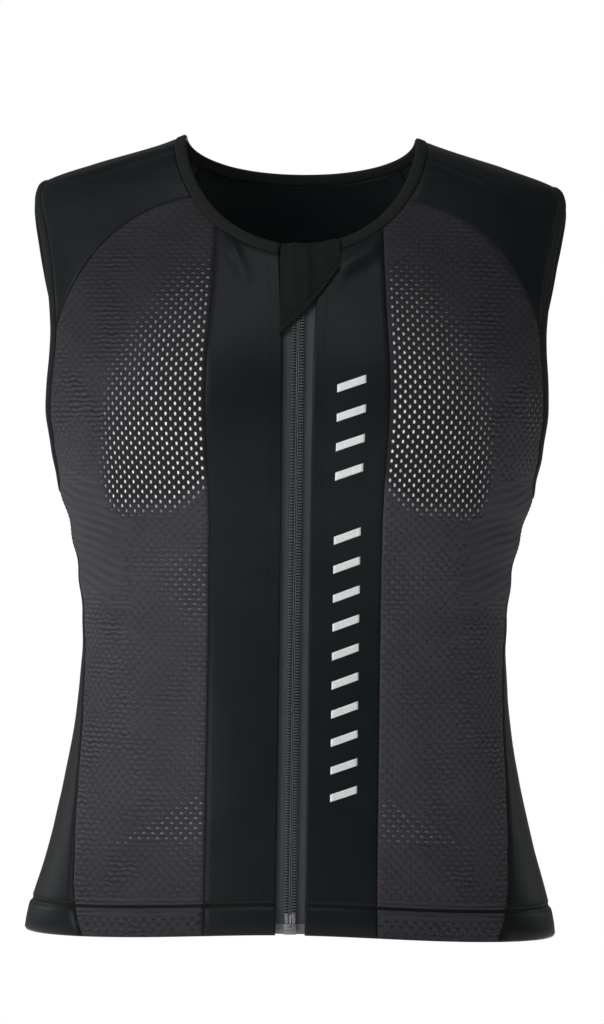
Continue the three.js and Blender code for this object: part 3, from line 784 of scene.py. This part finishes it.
def thickened(bm, edge):  # gives the flat cells both faces, thinner at the rim, and returns the outer ones
    for vert in bm.verts:
        vert[edge] = vert.is_boundary
        vert.co.z = -meshFront["rim"] if vert[edge] else -meshFront["half"]
    grown = bmesh.ops.extrude_face_region(bm, geom=bm.faces[:])["geom"]
    for vert in (g for g in grown if isinstance(g, bmesh.types.BMVert)):
        vert.co.z = meshFront["rim"] if vert[edge] else meshFront["half"]
    bmesh.ops.recalc_face_normals(bm, faces=bm.faces)
    return [g for g in grown if isinstance(g, bmesh.types.BMFace) and len(g.verts) == 4]


def holeFits(cell, middle, reach):  # whether a hole leaves some yarn on every side of its cell
    corners = [vert.co for vert in cell.verts]
    for a, b in zip(corners, corners[1:] + corners[:1]):
        way = b - a
        if way.length < 1e-6:
            continue
        across = Vector((way.y, -way.x)) / way.length
        support = math.hypot(reach[0] * across.x, reach[1] * across.y)
        if abs((a.xy - middle).dot(across)) < support + meshFront["clear"]:
            return False
    return True


def varied(spot, base, amount, size, seed):
    return base + amount * noise.noise((*spot / size, seed))


def sortedCells(cells, side):  # cells that get a hole, with its shape, and whole ones that the folds cross
    points = surfacePoints(fromFabric(np.array([cell.calc_center_median()[:2] for cell in cells])))
    cut, folded = [], []
    for cell, shown, smoothed in zip(cells, palenessAt(points, side), closedAt(points)):
        spot = cell.calc_center_median().xy
        shown = float(shown * varied(spot, *holes["shown"]))
        gain, *patches = holes["stretch"]
        stretched = min(1, varied(spot, gain * shown, *patches))
        reach = [mix(shut, opened, max(0, stretched)) for shut, opened in zip(holes["shut"], holes["open"])]
        closed = stretched < holes["slack"] and smoothed > varied(spot, *holes["closed"])
        if holeFits(cell, spot, reach) and not closed:
            cut.append((cell, spot, reach, shown))
        elif smoothed > 0:
            folded.append(cell)
    return cut, folded


def punchHoles(bm, cut):  # returns the floors of the holes
    cells = [cell for cell, *rest in cut]
    bmesh.ops.inset_individual(bm, faces=cells, thickness=meshFront["inset"])
    bmesh.ops.bisect_edges(bm, edges=[e for cell in cells for e in cell.edges], cuts=1)
    for cell, spot, (wide, tall, drop, depth), shown in cut:
        first = cell.verts[0].co.xy - spot
        start = round(math.atan2(first.y, first.x) / holes["turn"])
        for k, vert in enumerate(cell.verts):
            turn = (start + k) * holes["turn"]
            vert.co = (spot.x + wide * math.cos(turn), spot.y + tall * math.sin(turn),
                       meshFront["half"] - drop)
    return bmesh.ops.extrude_discrete_faces(bm, faces=cells)["faces"]


def wrapMesh(bm, side, edge):  # from flat onto the vest's surface, with the waist folds raised
    uv = bm.loops.layers.uv.new("cloth")
    for face in bm.faces:
        for loop in face.loops:
            loop[uv].uv = loop.vert.co.xy * mm
    flat = np.array([vert.co for vert in bm.verts])
    places = fromFabric(flat)
    folds = foldsAt(flat, surfacePoints(places)) * [not vert[edge] for vert in bm.verts]
    lift = flat[:, 2] * (hemThickness(places) / meshFront["half"]) + waistFolds["rise"] * folds
    foldLayer = bm.verts.layers.float.new("fold")
    for vert, point, fold in zip(bm.verts, clothPoints(places * [side, 1], lift) * mm, folds):
        vert.co = point
        vert[foldLayer] = fold
    if side < 0:
        bmesh.ops.reverse_faces(bm, faces=bm.faces)


def meshFrontPiece(side, name):
    bm = meshCells()
    edge, shade = bm.verts.layers.int.new("edge"), bm.verts.layers.float.new("paleness")
    cut, folded = sortedCells(thickened(bm, edge), side)
    floors = punchHoles(bm, cut)
    crossed = list(dict.fromkeys(e for cell in folded for e in cell.edges))
    bmesh.ops.subdivide_edges(bm, edges=crossed, cuts=2, use_grid_fill=True)
    points = surfacePoints(fromFabric(np.array([vert.co for vert in bm.verts])))
    for vert, shown in zip(bm.verts, palenessAt(points, side)):
        vert[shade] = shown
    for floor, (cell, spot, reach, shown) in zip(floors, cut):
        floor.material_index = 1
        for vert in floor.verts:
            vert.co.z -= reach[3]
            vert[shade] = shown
    wrapMesh(bm, side, edge)
    piece = pieceFrom(bm, "mesh_front_" + name, [meshYarn, meshBacking], ["front_mesh_" + name])


for side, name in sides:
    meshFrontPiece(side, name)


def panelPiece(side, name, net, node, seamSides, lift=0):
    half = halfCloth(net, seamSides)
    net = net * [side, 1]
    outer = clothPoints(net, lift + half)
    bm = bmesh.new()
    wallInto(bm, clothPoints(net, lift - half), outer)
    piece = pieceFrom(bm, name, [stretchCloth], [node])
    print(name, len(piece.data.polygons), "faces", round(areaOf(outer), 4), "m2")


def creaseLift(points, creases):  # soft ridges along short lines seen from the front
    lift = np.zeros(points.shape[:-1])
    for start, end, rise, width in creases:
        a, way = np.array(start, float), np.subtract(end, start).astype(float)
        at = points[..., [0, 2]] - a
        share = np.clip((at @ way) / (way @ way), 0, 1)
        off = np.linalg.norm(at - share[..., None] * way, axis=-1)
        lift += rise * np.exp(-(off / width) ** 2)
    return lift


placket = {"flat": (0.053, 0.52), "columns": 16, "edge": 0.03, "hemSteps": 8,
           "flatSides": 0.14, "flatTop": 0.02,
           "creases": {-1: [((-57, -64), (-45, -90), 2.2, 2.6), ((-50, -75), (-38, -108), 1.2, 4)],
                       1: [((33, -98), (53, -84), 2.2, 4.5), ((34, -108), (50, -100), -0.9, 4)]}}


def placketPiece(side, name):
    u, v = edgedShares(placket["columns"], placket["edge"]), rowShares(zipEdge)
    bottom = hemRun(zipEdge[0], placketEdge[0], placket["hemSteps"])
    net = netBetween(zipEdge, placketEdge, bottom, neckOverPlacket, u, v)
    creases = creaseLift(surfacePoints(net * [side, 1]), placket["creases"][side])
    creases *= smoothStep(np.minimum(u, 1 - u) / placket["flatSides"])[None]
    creases *= smoothStep((1 - v) / placket["flatTop"])[:, None]
    panelPiece(side, "placket_cloth_" + name, net, "placket_" + name, "rt", creases)


sidePanel = {"flat": (0.155, 0.345), "columns": 26, "edge": 0.012, "hemSteps": 20}


def sidePanelPiece(side, name):
    net = netBetween(frontSeam, backSeam, hemRun(frontSeam[0], backSeam[0], sidePanel["hemSteps"]), armUnder,
                     edgedShares(sidePanel["columns"], sidePanel["edge"]), rowShares(frontSeam))
    panelPiece(side, "side_cloth_" + name, net, "side_panel_" + name, "lrt")


yoke = {"flat": (0.15, 0.29), "columns": 30, "rows": 150, "edge": 0.012,
        "creases": {-1: [((-170, -40), (-84, -13), -0.9, 1.5), ((-168, -36), (-84, -9.5), 0.7, 2.2)],
                    1: [((92, -23), (159, -50), -0.8, 1.7), ((92, -19), (162, -45), 0.6, 2.4)]}}


def yokePiece(side, name):
    net = netBetween(neckOverYoke, armOver, yokeFront, yokeBack,
                     edgedShares(yoke["columns"], yoke["edge"]), edgedShares(yoke["rows"], yoke["edge"]))
    points = surfacePoints(net * [side, 1])
    creases = creaseLift(points, yoke["creases"][side]) * (points[..., 1] < 0)
    panelPiece(side, "yoke_cloth_" + name, net, "shoulder_yoke_" + name, "lrtb", creases)


backPanel = {"flat": (0.46, 0.57), "columns": 84, "edge": 0.005, "hemSteps": 60}


def backPanelPiece():
    left = joined(backSeam, armBack, yokeBack[::-1])
    right = mirrored(left)
    top = joined(neckBehind, mirrored(neckBehind)[::-1])
    net = netBetween(left, right, hemRun(left[0], right[0], backPanel["hemSteps"]), top,
                     edgedShares(backPanel["columns"], backPanel["edge"]), rowShares(left))
    panelPiece(1, "back_cloth", net, "back_panel", "lrt")


for side, name in sides:
    placketPiece(side, name)
    sidePanelPiece(side, name)
    yokePiece(side, name)
backPanelPiece()


# Bindings: a flattened tube from an edge curve to the seam beside it
binding = {"thick": 3.4, "near": 0.02, "far": 1.07, "around": 16, "wideSquare": 0.7, "thickSquare": 0.6,
           "neckSteps": 150, "neckFlat": (0.0105, 0.52), "armSteps": 160, "armFlat": (0.01, 0.56)}


def squared(wave, power):
    return np.sign(wave) * np.abs(wave) ** power


def bindingPiece(name, node, edge, seam, stations, closed):
    turns = np.linspace(0, 2 * np.pi, binding["around"] + 1)
    across = mix(binding["near"], binding["far"], 0.5 - 0.5 * squared(np.cos(turns), binding["wideSquare"]))
    lift = 0.5 * binding["thick"] * squared(np.sin(turns), binding["thickSquare"])
    net = mix(edge(stations)[:, None], seam(stations)[:, None], across[None, :, None])
    points = clothPoints(net, np.broadcast_to(lift, net.shape[:-1]))
    bm = bmesh.new()
    made, spot = gridInto(bm, len(stations) - 1, binding["around"])
    for vert in made:
        vert.co = points.reshape(-1, 3)[vert[spot]] * mm
    layCloth(bm, bm.faces, points, spot)
    bmesh.ops.remove_doubles(bm, verts=bm.verts, dist=1e-6)
    if not closed:
        bmesh.ops.holes_fill(bm, edges=[e for e in bm.edges if e.is_boundary], sides=0)
    bmesh.ops.recalc_face_normals(bm, faces=bm.faces)
    piece = pieceFrom(bm, name, [bindingTape], [node])


def onSide(curve, side):
    return lambda at: curve(at) * [side, 1]


def reflected(curve):
    def both(degrees):
        near = curve(np.minimum(degrees, 360 - degrees))
        return np.where((degrees <= 180)[:, None], near, mirrored(near))
    return both


neckStations = np.linspace(neckAt["zip"], 360 - neckAt["zip"], binding["neckSteps"] + 1)
armStations = np.linspace(0, armhole["steps"], binding["armSteps"] + 1)
bindingPiece("neck_edge", "neck_binding", reflected(neckEdge), reflected(neckSeam), neckStations,
             False)
for side, name in sides:
    bindingPiece("arm_edge_" + name, "armhole_binding_" + name, onSide(armEdge, side), onSide(armSeam, side),
                 armStations, True)
print("bindings made")


# Zip fastener
zipper = {"inner": 0.4, "outer": 14, "tape": 0.9, "tapeLift": -2.3, "bottom": -570, "top": -91.5,
          "filmTop": -554, "flat": (0.0136, 0.5), "columns": 12, "rows": 140}
teeth = {"pitch": 2.0, "size": (3.5, 1.25, 2.0), "x": 2.75, "lift": -0.25, "bottom": -561, "top": -104,
         "round": 0.35}
cord = {"inner": 0.1, "outer": 1.15, "columns": 6, "rows": 150, "below": 4, "under": -0.6, "lift": 0.45,
        "arch": 0.5}


def frontNet(xs, zs):
    return seenFromFront(*np.broadcast_arrays(np.asarray(xs)[None], np.asarray(zs)[:, None]))


def zipTapePiece(side, name):
    net = frontNet(side * np.linspace(zipper["inner"], zipper["outer"], zipper["columns"]),
                   np.linspace(zipper["bottom"], zipper["top"], zipper["rows"]))
    low, high = (clothPoints(net, zipper["tapeLift"] + step * zipper["tape"] / 2) for step in (-1, 1))
    bm = bmesh.new()
    for face in wallInto(bm, low, high):
        if face.calc_center_median().z < zipper["filmTop"] * mm:
            face.material_index = 1
    piece = pieceFrom(bm, "zip_tape_cloth_" + name, [zipTape, zipFilm], ["zip_tape_" + name])


def frameAt(x, z, lift):  # a point on the front with axes across, up and outward
    place = seenFromFront(np.float64(x), np.float64(z))
    up = waysAlong(place)[1]
    out = outward(place)
    up = unit(up - out * (up @ out))
    spot = clothPoints(place[None], np.array([lift]))[0] * mm
    return Matrix.Translation(spot) @ Matrix((np.cross(up, out), up, out)).transposed().to_4x4()


def boxInto(bm, at, size, offset=(0, 0, 0)):
    size = Matrix.Diagonal((*[s * mm for s in size], 1))
    bmesh.ops.create_cube(bm, size=1, matrix=at @ Matrix.Translation([s * mm for s in offset]) @ size)


def roundEdges(bm, edges, offset, segments):
    bmesh.ops.bevel(bm, geom=edges, offset=offset * mm, affect="EDGES", segments=segments, profile=0.5,
                    material=-1)


def zipRowPiece(side, name):
    bm = bmesh.new()
    heights = np.arange(teeth["bottom"], teeth["top"], teeth["pitch"])
    for z in heights + (0.5 * teeth["pitch"] if side < 0 else 0):
        boxInto(bm, frameAt(side * teeth["x"], z, teeth["lift"]), teeth["size"])
    roundEdges(bm, bm.edges[:], teeth["round"], 1)
    net = frontNet(side * np.linspace(cord["inner"], cord["outer"], cord["columns"]),
                   np.linspace(teeth["bottom"] - cord["below"], teeth["top"], cord["rows"]))
    arch = np.sqrt(np.maximum(0, 1 - np.linspace(-1, 1, cord["columns"]) ** 2)) * cord["arch"]
    wallInto(bm, clothPoints(net, cord["under"]), clothPoints(net, cord["lift"] + arch[None, :]))
    pieceFrom(bm, "zip_teeth_" + name, [zipNylon], ["zip_row_" + name])


for side, name in sides:
    zipTapePiece(side, name)
    zipRowPiece(side, name)

zipBox = {"size": (8.6, 7.2, 3.4), "bottom": -570.4, "lift": 0.2, "waist": (5.16, 1.6, 1.0),
          "waistAt": (0, 0.72, 1.7), "pin": (2.6, 7.5, 2.2), "pinAt": (2.4, 7.35, -0.4), "round": 0.45}


def zipBoxPiece():
    bm = bmesh.new()
    at = frameAt(0, zipBox["bottom"] + zipBox["size"][1] / 2, zipBox["lift"])
    boxInto(bm, at, zipBox["size"])
    boxInto(bm, at, zipBox["waist"], zipBox["waistAt"])
    x, y, z = zipBox["pinAt"]
    for side in (1, -1):
        boxInto(bm, at, zipBox["pin"], (side * x, y, z))
    roundEdges(bm, bm.edges[:], zipBox["round"], 2)
    pieceFrom(bm, "zip_box_metal", [zipMetal], ["zip_box"])


zipBoxPiece()
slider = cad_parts["zip_slider"]
slider.data.materials.clear()
slider.data.materials.append(zipMetal)
print("zip made")


# Guard that folds over the top of the zip
guard = {"left": -13, "right": 28, "innerZ": -106, "longZ": -148, "shortZ": -101, "bulge": 4, "cloth": 1.7,
         "lying": 1.1, "overSlider": 1.6, "overBinding": 0.8, "inside": -4.6, "rise": 1.2, "clear": -1.6,
         "columns": 48, "innerRows": 9, "foldRows": 8, "outerRows": 44, "flat": (0.043, 0.105),
         "corner": 0.14, "round": 1.8, "ragged": 0.9, "topNoise": (5, 8.2), "endNoise": (3, 5.7),
         "roll": (0.8, 2.2, 1.3), "groove": (-0.5, 5.4, 1.6), "wave": 1.2, "waveSize": (11, 16),
         "waveSeed": 3.1, "sliderSide": (11, 6), "sliderFoot": (-130, 9), "seamBelow": (15, 6),
         "sharp": math.radians(50), "rim": 0.5}


def guardLift(x, z, edge):  # how far the guard's back stands off, over the slider and the neck binding
    drop, fade = guard["seamBelow"]
    overSlider = below(np.abs(x), *guard["sliderSide"]) * above(z, *guard["sliderFoot"])
    overSeam = above(z, edge - drop, fade)
    creases = creaseLift(surfacePoints(seenFromFront(x, z)), placket["creases"][1])
    raised = np.maximum(guard["overSlider"] * overSlider, guard["overBinding"] * overSeam)
    return guard["lying"] + raised + np.maximum(0, creases)


def ragged(xs, size, seed):
    return np.array([guard["ragged"] * noise.noise((x / size, 0, seed)) for x in xs])


def guardPiece():
    xs = np.linspace(guard["left"], guard["right"], guard["columns"] + 1)
    share = (xs - xs[0]) / (xs[-1] - xs[0])
    corner = 1 - np.minimum(1, np.minimum(share, 1 - share) / guard["corner"])
    edge = -neck["front"] * np.sqrt(1 - (xs / neck["half"]) ** 2) + guard["clear"]
    edge += ragged(xs, *guard["topNoise"]) - guard["round"] * corner ** 2
    end = mix(guard["longZ"], guard["shortZ"], share) - guard["bulge"] * np.sin(np.pi * share)
    end += ragged(xs, *guard["endNoise"])
    up = np.linspace(0, 1, guard["innerRows"])[:, None]
    turn = np.linspace(np.pi, 0, guard["foldRows"] + 2)[1:-1, None]
    down = np.linspace(0, 1, guard["outerRows"])[:, None]
    outerZ = mix(edge, end, down)
    z = np.concatenate([mix(guard["innerZ"], edge, up), edge + guard["rise"] * np.sin(turn), outerZ])
    over = guardLift(xs, outerZ, edge) + guard["cloth"] / 2
    turned = mix(guard["inside"], over[:1], (1 + np.cos(turn)) / 2)
    lift = np.concatenate([np.full((len(up), len(xs)), guard["inside"]), turned, over])
    faceUp = np.concatenate([0 * up, np.sin(turn), 0 * down])
    faceOut = np.concatenate([0 * up - 1, np.cos(turn), 0 * down + 1])
    x = np.broadcast_to(xs, z.shape)
    wide, tall = guard["waveSize"]
    wave = [noise.noise((a / wide, b / tall, guard["waveSeed"])) for a, b in zip(x.ravel(), z.ravel())]
    relief = guard["wave"] * np.array(wave).reshape(z.shape)
    for rise, middle, width in (guard["roll"], guard["groove"]):  # rolled lower edge
        relief += rise * np.exp(-((z - end - middle) / width) ** 2)

    def face(step, raised):
        return clothPoints(seenFromFront(x, z + step * faceUp), lift + step * faceOut + raised)

    outer = face(guard["cloth"] / 2, relief * (faceOut > 0))
    bm = bmesh.new()
    wallInto(bm, face(-guard["cloth"] / 2, 0), outer)
    roundEdges(bm, [e for e in bm.edges if e.calc_face_angle(0) > guard["sharp"]], guard["rim"], 2)
    bmesh.ops.dissolve_degenerate(bm, dist=1e-6, edges=bm.edges)
    piece = pieceFrom(bm, "guard_cloth", [brushedCloth], ["zip_guard"])
    print("guard", round(areaOf(outer), 5), "m2")


guardPiece()


# Protector pad: sewn through at its channels and filled out by a cloth simulation
pad = {"widths": [70, 106, 114, 102, 93, 94, 84], "top": -62, "bottom": -550, "lift": 2.6, "edge": 3.5,
       "crown": 14.5, "channel": 3.6, "channelWide": 1.2, "rowsEach": 16, "columns": 56, "endCrown": 14,
       "endCorner": 8, "endCut": 0.34, "frames": 24, "least": -1, "most": 2.2}
filling = {"quality": 6, "mass": 0.15, "tension_stiffness": 12, "compression_stiffness": 12,
           "bending_stiffness": 0.3, "shrink_min": -0.02, "use_pressure": True,
           "uniform_pressure_force": 2.5, "vertex_group_mass": "sewn"}


def filledOut(points, sewn):
    rows, columns = points.shape[0] - 1, points.shape[1] - 1
    bm = bmesh.new()
    made, spot = gridInto(bm, rows, columns)
    for vert in made:
        vert.co = points.reshape(-1, 3)[vert[spot]] * mm
    bm.normal_update()
    order = [vert[spot] for vert in bm.verts]
    if sum(face.normal.y for face in bm.faces) < 0:
        bmesh.ops.reverse_faces(bm, faces=bm.faces)
    mesh = bpy.data.meshes.new("pad cover before filling")
    bm.to_mesh(mesh)
    bm.free()
    scene = bpy.context.scene
    cover = bpy.data.objects.new("pad cover before filling", mesh)
    scene.collection.objects.link(cover)
    held = cover.vertex_groups.new(name="sewn")
    for index, at in enumerate(order):
        row, column = divmod(at, columns + 1)
        if sewn[row] or row in (0, rows) or column in (0, columns):
            held.add([index], 1.0, "REPLACE")
    cloth = cover.modifiers.new("filling", "CLOTH")
    for key, value in filling.items():
        setattr(cloth.settings, key, value)
    cloth.settings.effector_weights.gravity = 0
    cloth.point_cache.frame_start, cloth.point_cache.frame_end = 1, pad["frames"]
    for step in range(1, pad["frames"] + 1):
        scene.frame_set(step)
    solved = cover.evaluated_get(bpy.context.evaluated_depsgraph_get()).to_mesh()
    moved = np.zeros((len(order), 3))
    for vert, at in zip(solved.vertices, order):
        moved[at] = vert.co
    scene.frame_set(1)
    bpy.data.objects.remove(cover)
    return moved.reshape(points.shape) / mm


def padPiece():
    channels = len(pad["widths"]) - 1
    shares = np.linspace(0, 1, channels * pad["rowsEach"] + 1)
    widths = smoothThrough(np.array(pad["widths"][::-1], float)[:, None], len(shares))[:, 0]
    nearEnd = np.minimum(shares, 1 - shares)
    half = widths * (1 - pad["endCut"] * (1 - np.minimum(1, pad["endCorner"] * nearEnd)) ** 2)
    aside = np.linspace(1, -1, pad["columns"] + 1)
    z = np.broadcast_to(mix(pad["bottom"], pad["top"], shares)[:, None], (len(shares), len(aside)))
    places = seenFromFront(half[:, None] * aside, z, False)
    places[..., 0] = np.where(places[..., 0] < 0, places[..., 0] + 2 * np.pi, places[..., 0])
    crown = (1 - aside[None] ** 4) * (1 - (1 - np.minimum(1, pad["endCrown"] * nearEnd[:, None])) ** 2)
    fromSewing = ((shares * channels + 0.5) % 1 - 0.5) * pad["rowsEach"]
    dip = np.exp(-(fromSewing / pad["channelWide"]) ** 2) * pad["channel"]
    rise = pad["edge"] + (pad["crown"] - pad["edge"] - dip[:, None]) * crown
    outer = start = clothPoints(places, pad["lift"] + rise)
    outs = outward(places)
    moved = filledOut(start, np.abs(fromSewing) < 0.5) - start
    pushed = np.clip((moved * outs).sum(-1), pad["least"], pad["most"])
    outer = start + outs * pushed[..., None]
    bm = bmesh.new()
    wallInto(bm, clothPoints(places, pad["lift"]), outer)
    piece = pieceFrom(bm, "protector_pad", [padCover], ["back_protector"])
    print("protector pad filled,", len(piece.data.polygons), "faces")
    return places, outer


padPlaces, padOuter = padPiece()


# Stitches: one small stretched ball each
stitching = {"pitch": 3.2, "size": (0.55, 2.3, 0.55), "look": 0.5, "lift": 0.85, "onBinding": 1.5,
             "onPad": 0.15, "zipLine": {1: 17.2, -1: 18.6}, "zipTop": 14.0, "hemSteps": 160,
             "hemEnds": 0.2, "hemRow": 24.4,
             "hemCoverShade": (20.3, 21.3, 22.3), "coverShadeLift": (-0.1, 0.38), "bindingSteps": 400,
             "neckShare": 0.8, "armShare": 0.78}
# Run, percents along it, distance beside it
seamRows = [(yokeFront, (1, 99, 120), -1.9), (yokeBack, (1, 99, 120), 1.9),
            (frontSeam, (8, 99, 160), 1.9), (backSeam, (8, 99, 160), -1.9)]


def stitchesInto(bm, points, normals):
    steps = np.concatenate([[0], np.cumsum(np.linalg.norm(np.diff(points, axis=0), axis=1))])
    marks = np.arange(stitching["pitch"] / 2, steps[-1], stitching["pitch"])

    def along(marks, values):
        return np.stack([np.interp(marks, steps, values[:, k]) for k in range(3)], -1)

    spots = along(marks, points)
    size = Matrix.Diagonal((*[s / 2 * mm for s in stitching["size"]], 1))
    ways = along(marks + stitching["look"], points) - spots
    for spot, way, out in zip(spots, ways, along(marks, normals)):
        if np.linalg.norm(way) < 1e-6:
            continue
        ahead = unit(way)
        across = unit(np.cross(ahead, unit(out)))
        turn = Matrix((across, ahead, np.cross(across, ahead))).transposed().to_4x4()
        at = Matrix.Translation(spot * mm) @ turn @ size
        bmesh.ops.create_icosphere(bm, subdivisions=1, radius=1, matrix=at)


def stitchRun(bm, run, lift, side=1):
    run = run * [side, 1]
    stitchesInto(bm, clothPoints(run, np.full(len(run), lift)), outward(run))


def frontThreads(bm):
    for side in (1, -1):
        line = frontLine(stitching["zipLine"][side], neckSeam(np.array(stitching["zipTop"])), 100)
        stitchRun(bm, line[3:-2], stitching["lift"], side)
        stitchRun(bm, besideRun(placketEdge, np.linspace(3, 99, 200), -2.0), stitching["lift"], side)


def hemLine(height):  # round the hem from one placket to the other
    start = placketEdge[0][0] * stitching["hemEnds"]
    angles = np.linspace(start, 2 * np.pi - start, stitching["hemSteps"])
    return np.stack([angles, np.full(len(angles), levelAt(hem["z"] + height))], -1)


def hemThreads(bm):
    # dark band in the groove between the hem's stitch rows: a cover stitch, darker than the cloth as painted
    # shade of that groove
    net = np.stack([hemLine(height) for height in stitching["hemCoverShade"]], 1)
    wallInto(bm, *(clothPoints(net, lift) for lift in stitching["coverShadeLift"]))
    stitchRun(bm, hemLine(stitching["hemRow"]), stitching["lift"])


def seamThreads(bm):
    for side in (1, -1):
        for run, percents, width in seamRows:
            stitchRun(bm, besideRun(run, np.linspace(*percents), width), stitching["lift"], side)


def bindingThreads(bm):
    turn = np.linspace(neckAt["zip"] + 1, 359 - neckAt["zip"], stitching["bindingSteps"])
    neckRow = mix(reflected(neckEdge)(turn), reflected(neckSeam)(turn), stitching["neckShare"])
    stitchRun(bm, neckRow, stitching["onBinding"])
    step = np.linspace(0, armhole["steps"], stitching["bindingSteps"])
    for side in (1, -1):
        stitchRun(bm, mix(armEdge(step), armSeam(step), stitching["armShare"]), stitching["onBinding"], side)


def padThreads(bm):
    outs = outward(padPlaces)
    inside = slice(2, -2)
    channels = range(pad["rowsEach"], len(padPlaces) - 1, pad["rowsEach"])
    rim = [(inside, 2), (inside, -3), (2, inside), (-3, inside)]
    for row in [(channel, slice(1, -1)) for channel in channels] + rim:
        stitchesInto(bm, padOuter[row] + outs[row] * stitching["onPad"], outs[row])


seamShadeCover = {"across": (-1.4, -0.8, 0.0, 0.8, 1.4), "lift": (0.2, 0.65, 0.8, 0.65, 0.2), "under": -0.3,
             "percents": (0.5, 99.5, 220)}


def seamShadeCoverPiece(side, name):  # dark strip along the side seams: a cover stitch, darker than the cloth as painted shade of the seam groove
    bm = bmesh.new()
    percents = np.linspace(*seamShadeCover["percents"])
    for run in (frontSeam, backSeam):
        net = np.stack([besideRun(run, percents, width) for width in seamShadeCover["across"]], 1) * [side, 1]
        raised = np.array(seamShadeCover["lift"]) * hemThickness(net) / hemHalf[-1]
        wallInto(bm, clothPoints(net, seamShadeCover["under"]), clothPoints(net, raised))
    pieceFrom(bm, "seam_shade_cover_" + name, [threadAndSeamShade])


def threadPiece(name, fill):
    bm = bmesh.new()
    fill(bm)
    piece = pieceFrom(bm, name, [threadAndSeamShade])
    print(name, len(piece.data.polygons), "faces")


for side, name in sides:
    seamShadeCoverPiece(side, name)
threadPiece("front_stitching", frontThreads)
threadPiece("hem_stitching", hemThreads)
threadPiece("seam_stitching", seamThreads)
threadPiece("binding_stitching", bindingThreads)
threadPiece("pad_stitching", padThreads)


# Plain reflective bars down the wearer's left placket
bars = {"inner": 26.5, "outer": 45, "top": -181, "bottom": -468, "count": 14, "gapAfter": 4, "gap": 1.2,
        "tall": 5.5, "slant": 7, "lift": 0.98, "thick": 0.16, "sunk": 0.2, "columns": 14, "rows": 5}


def barsPiece():
    bm = bmesh.new()
    steps = np.arange(bars["count"]) + bars["gap"] * (np.arange(bars["count"]) >= bars["gapAfter"])
    across = np.linspace(bars["inner"], bars["outer"], bars["columns"])
    x, tall = np.meshgrid(across, np.linspace(-0.5, 0.5, bars["rows"]))
    slope = bars["slant"] * ((x - bars["inner"]) / (bars["outer"] - bars["inner"]) - 0.5)
    for z in mix(bars["top"], bars["bottom"], steps / steps[-1]):
        net = seenFromFront(x, z + tall * bars["tall"] + slope)
        low, high = bars["lift"] - bars["sunk"], bars["lift"] + bars["thick"]
        wallInto(bm, clothPoints(net, low), clothPoints(net, high))
    pieceFrom(bm, "reflective_bars", [reflectivePrint])


barsPiece()
print("stitches and bars made")


# Stage: pale floor, soft light, camera
studio = {"floor": (0, -0.4, -1.0), "reach": 2.6, "paper": (0.9, 0.9, 0.9, 1), "glow": 0.6,
          "glowColour": (1, 0.99, 0.98, 1), "aim": (0, 0, -0.3)}


def studioFloor():
    bm = bmesh.new()
    bmesh.ops.create_circle(bm, cap_ends=True, radius=studio["reach"], segments=96)
    bmesh.ops.translate(bm, verts=bm.verts, vec=studio["floor"])
    mesh = bpy.data.meshes.new("studio floor")
    bm.to_mesh(mesh)
    bm.free()
    paper = newFinish("studio paper", Base_Color=studio["paper"], Roughness=0.9,
                      Emission_Color=studio["glowColour"], Emission_Strength=studio["glow"])[0]
    mesh.materials.append(paper)
    floor = bpy.data.objects.new("studio_floor", mesh)
    bpy.context.scene.collection.objects.link(floor)


lamps = {
    "key": {"at": (-2.2, -2.1, 0.6), "size": 1.5, "power": 58},
    "fill": {"at": (2.2, -2.4, 0.2), "size": 1.8, "power": 1},
    "top": {"at": (-0.2, -1.5, 1.5), "size": 0.9, "power": 13},
    "back": {"at": (0.2, 2.3, -0.15), "size": 0.7, "power": 30},
    "side": {"at": (-2.7, 1.6, 0.4), "size": 1.2, "power": 11},
    "far side": {"at": (2.7, 1.6, 0.4), "size": 1.2, "power": 6},
}
# Brightness of the white room from each side
air = {"left": 0.34, "right": 0.08, "behind": 0.16, "turn": (0.3, 0.7)}


def studioLight():
    scene = bpy.context.scene
    for name, lamp in lamps.items():
        data = bpy.data.lights.new(name, "AREA")
        data.energy, data.size = lamp["power"], lamp["size"]
        light = bpy.data.objects.new(name, data)
        light.location = lamp["at"]
        light.rotation_euler = (Vector(studio["aim"]) - light.location).to_track_quat("-Z", "Y").to_euler()
        light.visible_camera = False
        scene.collection.objects.link(light)
    world = bpy.data.worlds.new("studio air")
    world.use_nodes = True
    tree = world.node_tree
    aim = splitOf(tree, addNode(tree, "TexCoord").outputs["Generated"])
    glow = ranged(tree, aim["X"], -1.0, 1.0, air["left"], air["right"])
    lit = blended(tree, ranged(tree, aim["Y"], *air["turn"]), glow, air["behind"])
    shown = blended(tree, addNode(tree, "LightPath").outputs["Is Camera Ray"], lit, 1.0)
    background = tree.nodes["Background"].inputs
    background["Color"].default_value = (1, 1, 1, 1)
    tree.links.new(shown, background["Strength"])
    scene.world = world
    scene.view_settings.view_transform = "Standard"


shot = {"distance": 2.9, "x": 0.0043, "z": -0.270, "roll": -0.8, "tall": 0.737, "sensor": 36}


def studioCamera():
    data = bpy.data.cameras.new("camera")
    data.sensor_width = shot["sensor"]
    data.lens = shot["sensor"] * shot["distance"] / shot["tall"]
    camera = bpy.data.objects.new("camera", data)
    camera.location = (shot["x"], -shot["distance"], shot["z"])
    camera.rotation_euler = (math.radians(90), math.radians(shot["roll"]), 0)
    bpy.context.scene.collection.objects.link(camera)
    bpy.context.scene.camera = camera


studioFloor()
studioLight()
studioCamera()

print("vest finished")
